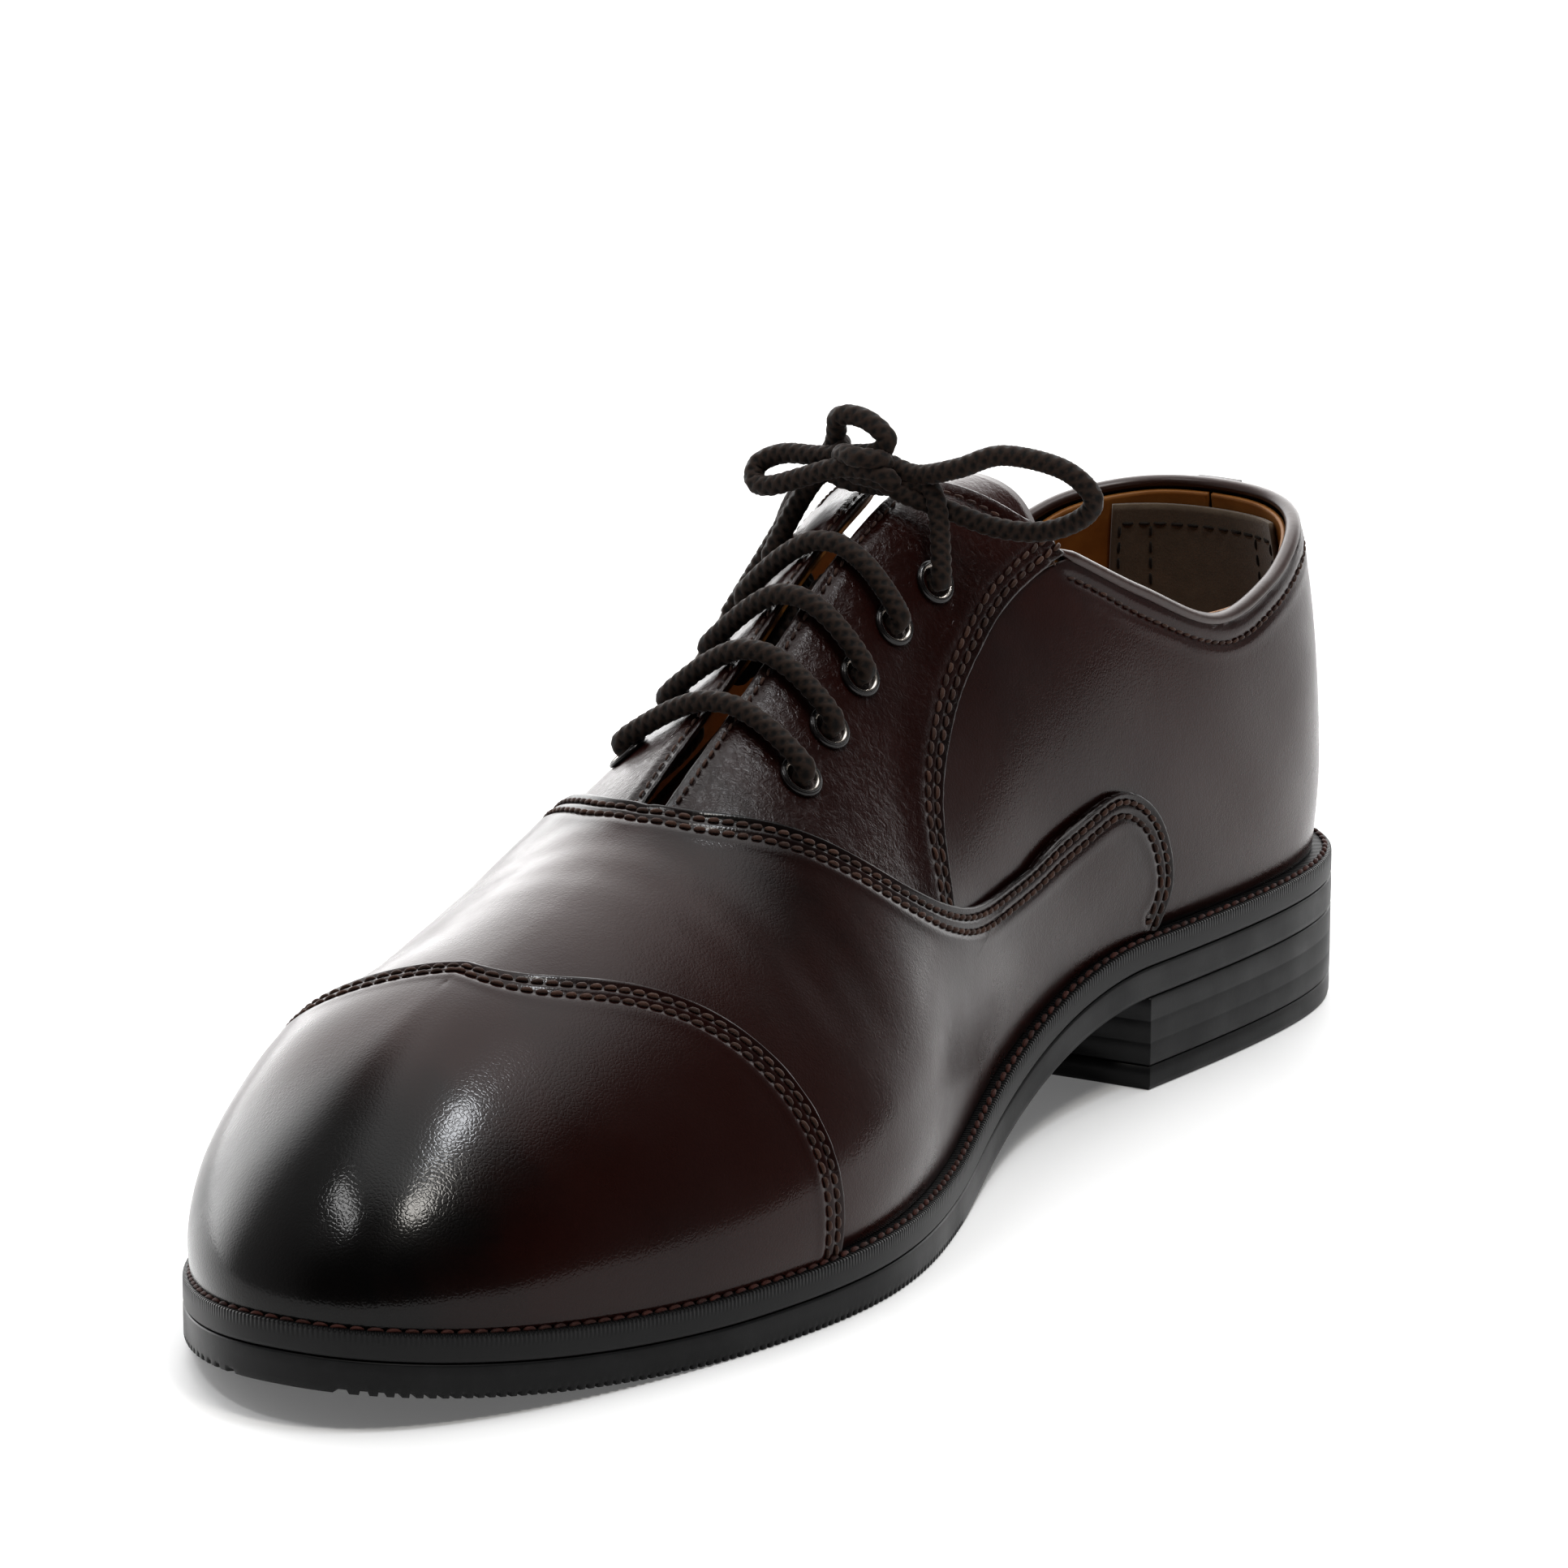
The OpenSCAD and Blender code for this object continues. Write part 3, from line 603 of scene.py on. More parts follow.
def edge_leather_material():
    """Folded edge of the same leather, less burnished and redder."""
    m = Mat("folded_leather")
    color = m.mix(m.noise(160, 4, .6), (.018, .0055, .0035), (.036, .011, .006))
    folds = m.bump(m.noise(420, 4, .6, .8), .35, .2 * MM)
    return m.finish(Base_Color=color, Roughness=.42, Normal=folds, Coat_Weight=.25, Coat_Roughness=.2)


def lining_material():
    m = Mat("lining_leather")
    tone = m.blend(m.noise(18, 4, .6), .6, m.noise(240, 4), .4)
    color = m.mix(m.span(tone, .3, .7), (.21, .082, .016), (.34, .15, .035))
    bump = m.bump(m.noise(1200, 3, .6), .12, .15 * MM)
    soft = m.bump(m.noise(75, 4, .5, 1.), .3, .5 * MM, bump)
    return m.finish(Base_Color=color, Roughness=.5, Normal=soft, Specular_IOR_Level=.35)


def suede_material():
    m = Mat("suede_lining")
    color = m.mix(m.noise(400, 5, .7), (.07, .052, .036), (.16, .12, .085))
    nap = m.bump(m.noise(2600, 4, .7), .5, .2 * MM)
    return m.finish(Base_Color=color, Roughness=.95, Normal=nap, Sheen_Weight=.5, Sheen_Roughness=.5,
                    Specular_IOR_Level=.1)


def thread_material(name, dark, light):
    """Waxed sewing thread with a visible twist."""
    m = Mat(name)
    color = m.mix(m.blend(m.value("tone"), .5, m.noise(1500), .5), dark, light)
    twist = m.bump(m.noise(3200, 3, .6, .5), .5, .12 * MM)
    return m.finish(Base_Color=color, Roughness=.6, Normal=twist, Sheen_Weight=.1,
                    Specular_IOR_Level=.2)


def lace_material():
    """Round braided waxed cotton; over is the height of the strand at each point, and the colour turns it
    into painted shade between the strands and a painted highlight on their crests.
    """
    m = Mat("braided_lace")
    fuzz = m.noise(1800, 4, .65)
    # Painted shade and painted highlight: darker where the strand lies low, lighter where it stands high,
    # mixed with random fuzz
    level = m.blend(m.value("over"), .7, fuzz, .45)
    color = m.mix(m.span(level, .35, 1.05), (.0016, .001, .0008), (.03, .017, .0115))
    bump = m.bump(fuzz, .45, .15 * MM)
    return m.finish(Base_Color=color, Roughness=.7, Normal=bump, Sheen_Weight=.12, Sheen_Roughness=.4,
                    Specular_IOR_Level=.25)


def metal_material(name, color, rough):
    """Bare metal, darker and duller in worn patches."""
    m = Mat(name)
    wear = m.noise(900, 4, .6)
    return m.finish(Base_Color=m.mix(m.span(wear, .35, .75), color, tuple(c * .55 for c in color)),
                    Metallic=1., Roughness=m.span(wear, .3, .7, rough, rough + .14),
                    Normal=m.bump(m.noise(2500, 3), .06, .1 * MM))


def eyelet_material():
    """Black lacquered metal, worn bright on the inner rim where the lace rubs."""
    m = Mat("eyelet_metal")
    rim = m.value("over")
    return m.finish(Base_Color=m.mix(rim, (.012, .01, .01), (.62, .58, .54)),
                    Metallic=m.math("ADD", m.math("MULTIPLY", rim, .8), .2),
                    Roughness=m.span(m.noise(900, 4, .6), .3, .7, .16, .28),
                    Normal=m.bump(m.noise(2500, 3), .05, .1 * MM))


def rubber_material():
    """Moulded black rubber with a faint satin skin and dust."""
    m = Mat("black_rubber")
    dust = m.span(m.noise(140, 5, .65), .45, .8)
    color = m.mix(dust, RUBBER_BLACK, RUBBER_DUSTY)
    fine = m.bump(m.noise(1900, 4, .6), .12, .12 * MM)
    wavy = m.bump(m.noise(110, 3), .12, .35 * MM, fine)
    return m.finish(Base_Color=color, Roughness=m.span(m.noise(60, 4), .3, .7, .38, .52), Normal=wavy,
                    Specular_IOR_Level=.28)


def ribbed_rubber_material():
    """The same rubber with fine ribs across the welt; rib counts them round the shoe."""
    m = Mat("ribbed_rubber")
    wave = m.math("SINE", m.math("MULTIPLY", m.value("rib"), 2 * math.pi))
    ribs = m.bump(m.math("MULTIPLY", wave, m.value("top")), .9, .3 * MM)
    fine = m.bump(m.noise(1900, 4, .6), .12, .12 * MM, ribs)
    color = m.mix(m.noise(140, 5, .6), RUBBER_BLACK, (.009, .0088, .009))
    return m.finish(Base_Color=color, Roughness=.45, Normal=fine, Specular_IOR_Level=.28)


def plain_material(name, dark, light, rough, scale, bump_scale):
    """Simple mottled material for inner parts."""
    m = Mat(name)
    return m.finish(Base_Color=m.mix(m.noise(scale, 5, .65), dark, light), Roughness=rough,
                    Normal=m.bump(m.noise(bump_scale, 4, .6), .3, .3 * MM))


def cork_material():
    m = Mat("ground_cork")
    grains = m.cells(420, "F1")
    color = m.mix(m.span(grains, .1, .8), (.33, .17, .07), (.62, .4, .2))
    return m.finish(Base_Color=color, Roughness=.9, Normal=m.bump(grains, .5, .3 * MM))


def aglet_material():
    m = Mat("aglet_plastic")
    color = m.mix(m.noise(300, 3), (.07, .055, .048), (.15, .125, .11))
    return m.finish(Base_Color=color, Roughness=.18, Coat_Weight=.8, Coat_Roughness=.05,
                    Normal=m.bump(m.noise(700, 3), .12, .2 * MM), Transmission_Weight=.15)


LEATHER_MAT = leather_material()
EDGE_MAT = edge_leather_material()
LINING_MAT = lining_material()
SUEDE_MAT = suede_material()
THREAD_MAT = thread_material("sewing_thread", (.012, .005, .0034), (.075, .034, .021))
WELT_THREAD_MAT = thread_material("welt_thread", (.014, .0045, .003), (.07, .018, .011))
DARK_THREAD_MAT = thread_material("dark_thread", (.008, .006, .005), (.03, .022, .018))
LACE_MAT = lace_material()
RUBBER_MAT = rubber_material()
RIBBED_MAT = ribbed_rubber_material()
EYELET_MAT = eyelet_material()
STEEL_MAT = metal_material("shank_steel", (.55, .56, .58), .3)
NAIL_MAT = metal_material("nail_steel", (.6, .6, .58), .35)
CORK_MAT = cork_material()
BOARD_MAT = plain_material("insole_fibre", (.3, .24, .16), (.5, .42, .31), .85, 500, 900)
FOAM_MAT = plain_material("heel_foam", (.6, .5, .25), (.8, .72, .45), .9, 300, 1300)
STIFF_MAT = plain_material("stiffener_fibre", (.12, .08, .05), (.2, .14, .09), .85, 350, 1100)
AGLET_MAT = aglet_material()


# ---------- leather sheets ----------
def burn_at(p, edge_d):
    """How far the polish is blackened at the toe tip and along the seams; the heel term also makes the back
    of the upper darker towards its foot, and the throat term makes the top of the vamp darker at the
    throat.
    """
    s = HEEL_Y - p[..., 1]
    x, z = p[..., 0], p[..., 2]
    tip = 1.05 * ease(256, 284, s + .25 * (z - 30)) * (1 - .45 * ease(8, 26, x) * (1 - ease(20, 34, z)))
    seam = .5 * np.exp(-edge_d / 5.5)
    heel = .25 * (1 - ease(4, 40, s)) * (1 - ease(30, 62, z))
    throat = .35 * np.exp(-((s - 190) / 13) ** 2) * ease(38, 60, z)
    return np.clip(tip + seam + heel + throat, 0, 1.2)


def sheet(name, uv, outer, thick, edges=(), seams=(), fold=False, material=None, round_r=.5,
          lift=None, crease=.1):
    """Closed leather sheet over a (u, v) grid: rounded free edges, and a groove under each seam.

    With fold the last grid line closes on itself, as at the toe tip, and needs no rim.
    """
    u, v = uv[..., 0], uv[..., 1]
    outer = np.broadcast_to(np.asarray(outer, float), u.shape).copy()
    middle_off = float(np.median(outer))
    base = skin(u, v, outer)
    edge_d = np.full(u.shape, 99.)
    if len(edges):
        edge_d = nearest(base, np.vstack([skin(*e.T, 0) + normal(*e.T) * middle_off for e in edges]))
    if lift is not None:
        outer += lift(base)
    r = min(round_r, thick * .5)
    k = np.clip(1 - edge_d / r, 0, 1)
    drop = r * (1 - np.sqrt(np.maximum(1 - k * k, 0)))
    groove = np.zeros(u.shape)
    if len(seams):
        seam_d = nearest(base, np.vstack([skin(*e.T, float(np.median(outer))) for e in seams]))
        groove = .3 * np.exp(-(seam_d / .75) ** 2) - .12 * np.exp(-((seam_d - 1.6) / .9) ** 2)
    top = skin(u, v, outer - drop - groove)
    low = skin(u, v, outer - thick + np.minimum(drop, thick * .4))
    burn = burn_at(base, np.minimum(edge_d, 30))
    bag = Bag()
    bag.add(np.concatenate([top.reshape(-1, 3), low.reshape(-1, 3)]), slab_faces(*u.shape, fold),
            burn=np.concatenate([burn.ravel()] * 2), crease=crease)
    return bag.make(name, material or LEATHER_MAT)


def over_ridge(edge_a, edge_b, ga, gb):
    """(u, v) grid between two border curves that both cross the ridge."""
    a = ga[:, None, None]
    return (1 - a) * both_sides(edge_a, gb)[None] + a * both_sides(edge_b, gb)[None]


# Every sewing thread of the upper; the seams add to it as their pieces are made
threads = Bag()
FINE_STITCH = {"pitch": 2.1, "length": 1.6, "width": .5, "height": .4}


def seam_rows(edge_uv, offsets, off, sign=1, **kw):
    """Sews rows beside a border curve and returns them for the groove."""
    line = dense(edge_uv, off, .6)
    rows = []
    for d in offsets:
        row = inset(line, sign * d)
        row[:, 1] = np.clip(row[:, 1], 0, 1)
        sew(threads, row, off - .02, **kw)
        rows.append(dense(row, off, .5))
    return rows


# ---------- pieces of the upper ----------
def make_cap():
    v = np.linspace(0, 1, 61)
    edge = np.stack([cap_u(v), v], -1)
    rows = seam_rows(edge, (1.6, 3.7), OUT_CAP)
    gb = graded(200, False, False, 1.3)
    ga = graded(95, True, False, 1.3)
    toe = np.stack([np.ones(61), v], -1)
    a = ga[:, None, None]
    grid = (1 - a) * curve(edge, gb)[None] + a * curve(toe, gb)[None]
    obj = sheet("toe_cap_leather", grid, OUT_CAP, LEATHER, edges=[dense(edge, OUT_CAP)], seams=rows,
                fold=True, crease=.03)
    return place(obj, ["toe_cap"])


def make_vamp():
    edge = both_sides(VAMP_EDGE, np.linspace(0, 1, 81))
    rows = seam_rows(edge, (1.6, 3.8), OUT_VAMP)
    front_v = np.array([0, .03, .06, .08, .1, .12, .15, .215, .325, .42, .5])
    front = np.stack([cap_u(front_v) + .028, front_v], -1)
    ga, gb = graded(120, True, False, 1.3), graded(330, False, False, 1.3)
    grid = over_ridge(VAMP_EDGE, front, ga, gb)
    grid[..., 0] += ga[:, None] * cap_skew(both_sides(front, gb)[:, 1])[None]
    obj = sheet("vamp_leather", grid, OUT_VAMP, LEATHER, edges=[dense(edge, OUT_VAMP)], seams=rows,
                crease=.1)
    return place(obj, ["vamp"])


SIDE_WORDS = {1: ("inner", "medial"), -1: ("outer", "lateral")}


def make_quarter(side):
    place_word, node_word = SIDE_WORDS[side]
    ga, gb = graded(118, True, False, 1.4), graded(70, False, True, 1.3)
    grid = coons(QUARTER_BACK, QUARTER_FRONT, pts((.0004, 0), (.322, 0)), QUARTER_TOP, ga, gb)
    top, back = QUARTER_TOP, QUARTER_BACK
    if side < 0:
        grid, top, back = outer_side(grid), outer_side(top), outer_side(back)
    rows = seam_rows(top, (3.0,), OUT_QUARTER, sign=side, **FINE_STITCH)
    obj = sheet("quarter_leather_" + place_word, grid, OUT_QUARTER, LEATHER,
                edges=[dense(top, OUT_QUARTER), dense(back, OUT_QUARTER)], seams=rows, crease=.08)
    return place(obj, ["quarter_" + node_word], REAR)


def make_facing(side):
    place_word, node_word = SIDE_WORDS[side]
    ga, gb = graded(72, True, False, 1.2), graded(42, True, True, 1.1)
    grid = coons(FACING_TOP, FACING_LOW, FACING_SEAM, FACING_SLIT, ga, gb)
    seam, slit, top = FACING_SEAM, FACING_SLIT, FACING_TOP
    if side < 0:
        grid = outer_side(grid)
        seam, slit, top = outer_side(seam), outer_side(slit), outer_side(top)
    seam_path = dense(seam, OUT_QUARTER)
    seam_points = skin(seam_path[:, 0], seam_path[:, 1], OUT_QUARTER)

    lap = .95

    def lift(p):
        return lap * (1 - ease(4, 11, nearest(p, seam_points)))

    rows = seam_rows(seam, (1.7, 3.9), OUT_QUARTER + lap, sign=-side, pitch=2.5, length=2.0, width=.8,
                     height=.62)
    rows += seam_rows(slit, (1.5,), OUT_QUARTER, sign=side, **FINE_STITCH)
    rows += seam_rows(top, (2.8,), OUT_QUARTER + .3, sign=side, **FINE_STITCH)
    obj = sheet("facing_leather_" + place_word, grid, OUT_QUARTER, LEATHER,
                edges=[seam_path, dense(slit, OUT_QUARTER), dense(top, OUT_QUARTER)], seams=rows,
                lift=lift, crease=.55)
    return place(obj, ["facing_" + node_word], REAR)


def lining_drop(u):
    """The lining dips inward over the heel counter."""
    return -(COUNTER_T + GAP) * (1 - ease(.19, .27, u))


def make_side_lining(side):
    """Lining of one side, from the back seam to the slit."""
    back = np.array([[.002, .02 + (top_v(0) - .02) * i / 4] for i in range(5)])
    front = pts((.33, .02), (.38, .055), (.45, .1), (.5, .2), (.535, .3), (.558, slit_v(.54)))
    low = pts((.002, .02), (.33, .02))
    top = np.array([[u, top_v(u)] for u in (.002, .07, .14, .21, .28)]
                   + [[.335, .3]] + [[u, slit_v(u + .003) - .02] for u in (.375, .43, .49)]
                   + [[.558, slit_v(.54) - .02]])
    grid = coons(back, front, low, top, np.linspace(0, 1, 110), np.linspace(0, 1, 48))
    outer = OUT_LINING + lining_drop(grid[..., 0])
    if side < 0:
        grid = outer_side(grid)
    place_word, node_word = SIDE_WORDS[side]
    obj = sheet("lining_" + place_word, grid, outer, LINING, material=LINING_MAT)
    return place(obj, ["quarter_lining_" + node_word], REAR)


def make_vamp_lining():
    toe = np.array([[1, i / 14] for i in range(8)])
    grid = over_ridge(VAMP_LINING_EDGE, toe, np.linspace(0, 1, 50), np.linspace(0, 1, 70))
    outer = OUT_QUARTER - .2 * (1 - ease(.42, .5, grid[..., 0]))
    obj = sheet("vamp_lining_leather", grid, outer, LEATHER, fold=True, material=LINING_MAT)
    return place(obj, ["vamp_lining"])


def band(u_max, v_low, v_high, na, nb, v_sag=0):
    """(u, v) grid round the heel or toe, from one side to the other through u 0."""
    a = np.linspace(-1, 1, na)[:, None]
    b = np.linspace(0, 1, nb)[None]
    v = v_low + (v_high - v_low - v_sag * a * a) * b
    return np.stack([np.broadcast_to(u_max * np.abs(a), v.shape), np.where(a < 0, 1 - v, v)], -1)


def make_counter():
    grid = band(.17, .012, .212, 60, 16, .08)
    obj = sheet("counter_fibre", grid, OUT_LINING, COUNTER_T, material=STIFF_MAT)
    return place(obj, ["heel_counter"], REAR)


def make_toe_puff():
    grid = band(.27, .02, .31, 60, 22)
    grid[..., 0] = 1 - grid[..., 0]
    obj = sheet("puff_fibre", grid, OUT_VAMP, LEATHER, material=STIFF_MAT)
    return place(obj, ["toe_puff"])


def make_grip():
    off = OUT_LINING - COUNTER_T - GAP - LINING - GAP
    half_width = .1
    grid = band(half_width, .07, top_v(0) - .012, 50, 30)
    obj = sheet("heel_grip_suede", grid, off, .7, material=SUEDE_MAT, round_r=.3)
    place(obj, ["heel_grip"], REAR)
    bag = Bag()
    low, high = .1, top_v(0) - .03
    for share in (.93, .62):
        reach = share * half_width
        lines = [(np.linspace(-reach, reach, 60), np.full(60, v)) for v in (low, high)]
        lines += [(np.full(40, u), np.linspace(low, high, 40)) for u in (-reach, reach)]
        for u, v in lines:
            uv = np.stack([np.abs(u), np.where(u < 0, 1 - v, v)], -1)
            p = skin(uv[:, 0], uv[:, 1], off - .75)
            up = -normal(uv[:, 0], uv[:, 1])
            sew_line(bag, p, lambda where: read(up, arc(p), where))
    obj = bag.make("heel_grip_thread", DARK_THREAD_MAT, weld=False)
    return place(obj, [], REAR)


def tongue_grid(u_top, u_foot, half_top, half_foot):
    """(u, v) grid of a strip over the ridge, narrower at its foot."""
    a = np.linspace(0, 1, 60)[:, None]
    b = np.linspace(-1, 1, 44)[None]
    u = u_top + (u_foot - u_top) * a + 0 * b
    return np.stack([u, .5 + (half_top + (half_foot - half_top) * a) * b], -1)


def make_tongue():
    grid = tongue_grid(.322, .548, .19, .12)
    obj = sheet("tongue_leather", grid, OUT_TONGUE, LEATHER, crease=.4)
    place(obj, ["tongue"], TONGUE)
    grid = tongue_grid(.326, .54, .18, .11)
    obj = sheet("tongue_lining_leather", grid, OUT_TONGUE - LEATHER - GAP, LINING, material=LINING_MAT)
    place(obj, ["tongue_lining"], TONGUE)


def make_heel_tab():
    t = top_v(0)
    a = np.linspace(-1, 1, 40)[:, None]
    b = np.linspace(0, 1, 24)[None]
    v = t - .045 + .05 * b + 0 * a
    grid = np.stack([np.broadcast_to(.022 * np.abs(a), v.shape), np.where(a < 0, 1 - v, v)], -1)
    border = np.concatenate([grid[0], grid[:, 0], grid[-1][::-1]])
    obj = sheet("heel_tab_leather", grid, OUT_QUARTER + GAP + LEATHER, LEATHER, edges=[border],
                round_r=.45)
    return place(obj, ["heel_tab"], REAR)


# ---------- tubes ----------
def tube(path, radius, sides, wave=None, up=None, flat=1.):
    """Points and faces of a round tube along a path, with frames carried along it."""
    n = len(path)
    run = unit(np.gradient(path, axis=0))
    axis = np.zeros((n, 3))
    a = np.array([.13, .2, 1.])
    for i in range(n):
        if up is not None:
            a = up[i]
        a = a - (a @ run[i]) * run[i]
        a = a / np.linalg.norm(a)
        axis[i] = a
    side = np.cross(run, axis)
    ring = np.linspace(0, 2 * np.pi, sides, endpoint=False)
    s = arc(path)
    r = np.broadcast_to(np.asarray(radius, float), (n,))[:, None] * np.ones((1, sides))
    height = np.zeros((n, sides))
    if wave is not None:
        height = wave(s[:, None], ring[None])
        r = r + height
    points = (path[:, None] + (r * np.cos(ring))[..., None] * side[:, None]
              + (r * flat * np.sin(ring))[..., None] * axis[:, None])
    faces = grid_faces(n, sides, wrap=True)
    faces += [list(range(sides)), [n * sides - 1 - i for i in range(sides)]]
    return points.reshape(-1, 3), faces, height.ravel()


def make_binding():
    a = np.linspace(-1, 1, 420)
    u = .333 * np.abs(a) ** .95
    v = top_v(u) + .0045
    off = -.55 - .6 * (1 - ease(.2, .3, u))
    path = skin(u, np.where(a < 0, 1 - v, v), off)
    up = np.tile([0, 0, 1.], (len(a), 1))
    fade = np.minimum(1, (1 - np.abs(a)) * 30 + .4)
    points, faces, _ = tube(path, 1.3 * fade, 16, up=up, flat=.85)
    bag = Bag()
    bag.add(points, faces)
    obj = bag.make("topline_rolled_edge", EDGE_MAT)
    return place(obj, ["topline_binding"], REAR)


# ---------- lacing ----------
def eye(i, side):
    return eye_u(i), EYE_V if side > 0 else 1 - EYE_V


def eyelet_profile():
    """Radius and height of the rolled metal ring, outer flange up."""
    h = LEATHER + GAP + LINING
    ro, ri = EYELET_OUTER_R, EYELET_HOLE_R
    return [(ri, -h - 1.15), (ri + .7, -h - 1.15), (ri + .8, -h - .95), (ri + .5, -h - .7),
            (ri + .45, -.2), (ro - .25, .05), (ro - .02, .18), (ro, .36), (ro - .1, .55),
            (ro - .35, .74), (ro - .65, .84), (ri + .75, .82), (ri + .4, .68), (ri + .15, .42), (ri, .05)]


def make_eyelets(side):
    profile = eyelet_profile()
    worn = [float(z > 0 and r < EYELET_HOLE_R + .6) for r, z in profile]
    k = 40
    ring = np.linspace(0, 2 * np.pi, k, endpoint=False)
    bag = Bag()
    for i in range(EYELETS):
        u, v = eye(i, side)
        c, n = skin(u, v, .15), normal(u, v)
        x = unit(np.cross(n, [0., 1., 0.]))
        y = np.cross(n, x)
        points = [c + r * (math.cos(t) * x + math.sin(t) * y) + z * n for r, z in profile for t in ring]
        bag.add(points, hoop_faces(len(profile), k), over=np.repeat(worn, k))
    place_word, node_word = SIDE_WORDS[side]
    obj = bag.make("eyelets_" + place_word, EYELET_MAT)
    return place(obj, ["eyelets_" + node_word], REAR)


def sk(u, v, off):
    """One point of the skin."""
    return skin(np.float64(u), np.float64(v), off)


def up_hole(i, side):
    """Lace points up through the eyelet of row i."""
    u, v = eye(i, side)
    tilt = .004 * side
    return [sk(u, v + (tilt if off > 1 else 0), off) for off in (LACE_UNDER + .7, -1, 1, LACE_OVER + .5)]


def rung(i, side):
    """Lace bar over the slit in row i, running from one side to the other."""
    span = 1 - 2 * EYE_V
    bar = [sk(eye_u(i), EYE_V + w * span, LACE_OVER + .75 * (1 - math.sin(math.pi * w)))
           for w in (.11, .25, .4, .5, .6, .75, .89)]
    return bar if side > 0 else bar[::-1]


KNOT_U = .388
KNOT = last(KNOT_U, .5)
KNOT_N = normal(KNOT_U, .5)
KNOT_T = unit(last(KNOT_U - .01, .5) - last(KNOT_U + .01, .5))


def kp(x, t, n):
    """Point of the bow: x across, t up the shoe, n out from it, in millimetres from the knot."""
    return KNOT + x * np.array([1., 0, 0]) + t * KNOT_T + n * KNOT_N


# The bow as (across, up the shoe, out) from the knot: outer end with its loop, then the inner end
BOW_A = [(-10.4, 1.2, 2.2), (-5, 1.5, 2), (-1, 1.8, 1.6), (3, .5, 2.6), (4.5, -1.5, 4.8),
         (2, -2.2, 6.6), (-4, -2.5, 6.5), (-10, -3, 4.5), (-16, -3.5, 2.5), (-19.5, -2.5, 2.2), (-20, 0, 4),
         (-16, 1.5, 5.5), (-9, 1, 6.2), (-3, .8, 7.2), (1.5, 1, 8), (3, 2, 10), (-1, 3, 12.5),
         (-6, 3.5, 12), (-8, 3.4, 6.5)]
BOW_B = [(10.4, 1.2, 1.5), (5, 1.2, 3.4), (1, 2.2, 4.4), (-3, 3, 4.2), (-5, 1.5, 5.5), (-3.5, -1, 8.2),
         (0, -2.8, 9), (3, -1.5, 8.2), (3.5, 1, 6), (8, 1.5, 4.5), (15, 2, 6.2), (21.5, 5, 7.6),
         (30, 7.5, 5), (34.5, 8, .6), (33, 7.5, -3), (27, 5.5, -5.3), (19.5, 3.5, -4.6), (11, 1.5, -.8),
         (6.5, 0, 1.5), (2, -.8, 4.2), (-3, -.5, 5), (-6, 2.5, 7), (-9, 6, 5)]

# The two ends hang down the outer side, as (u, v, height)
END_A = [(.377, .63, 3.8), (.379, .69, 2.9), (.386, .745, 2.6)]
END_B = [(.364, .65, 4.2), (.357, .705, 3), (.359, .755, 2.6)]


def under(i, v):
    """Point under the facings level with row i."""
    return sk(eye_u(i), v, LACE_UNDER)


def lace_path():
    """One lace, from one tip through the bow and every row to the other tip."""
    inner, outer = EYE_V, 1 - EYE_V
    diagonal = [under(2 + 2 * t, outer + (inner - outer) * t) for t in (.12, .3, .5, .7, .88)]
    half_a = (rung(0, 1)[4:] + up_hole(0, -1)[::-1] + [under(.3, outer), under(.7, outer)]
              + up_hole(1, -1) + rung(1, -1) + up_hole(1, 1)[::-1]
              + [under(1.3, .362), under(2, .39), under(2.7, .366)]
              + up_hole(3, 1) + rung(3, 1) + up_hole(3, -1)[::-1] + [under(3.3, outer), under(3.7, outer)]
              + up_hole(4, -1) + [kp(*q) for q in BOW_A] + [sk(*q) for q in END_A])
    half_b = (rung(0, 1)[2::-1] + up_hole(0, 1)[::-1]
              + [under(.3, .341), under(1, .312), under(1.7, .34)]
              + up_hole(2, 1) + rung(2, 1) + up_hole(2, -1)[::-1] + diagonal
              + up_hole(4, 1) + [kp(*q) for q in BOW_B] + [sk(*q) for q in END_B])
    knots = np.array(half_a[::-1] + [rung(0, 1)[3]] + half_b)
    fine = thru(knots, np.linspace(0, len(knots) - 1, len(knots) * 24))
    s = arc(fine)
    spacing = .36
    return read(fine, s, np.linspace(0, s[-1], int(s[-1] / spacing)))


def braid(s, angle):
    """Height of the crossing strands of a round braid, in millimetres."""
    turn = BRAID_STRANDS * np.pi * s / BRAID_PITCH
    left = np.sin(BRAID_STRANDS * angle + turn)
    right = np.sin(BRAID_STRANDS * angle - turn)
    return BRAID_HEIGHT * np.maximum(left, right)


def make_lace():
    path = lace_path()
    points, faces, height = tube(path, LACE_D / 2 + .1, 20, wave=braid)
    bag = Bag()
    # over is the strand height, which the lace colour turns into painted shade and painted highlight
    bag.add(points, faces, over=height / (2 * BRAID_HEIGHT) + .5)
    obj = bag.make("braided_lace", LACE_MAT, weld=False)
    place(obj, ["lace"], REAR)
    bag = Bag()
    along = np.array([-.6, 0, .15, .4, 1, 6, 12, 16.6, 17.4, 17.8, 18])
    radius = [1.32, 1.4, 1.44, 1.4, 1.3, 1.26, 1.24, 1.2, 1.05, .7, .3]
    for end, before in ((path[0], path[3]), (path[-1], path[-4])):
        points, faces, _ = tube(end + along[:, None] * unit(end - before), radius, 28)
        bag.add(points, faces)
    obj = bag.make("lace_tips", AGLET_MAT)
    return place(obj, ["aglets"], REAR)


# ---------- sole ----------
# Length of the finely divided ends of the sole outline
TIP = 18


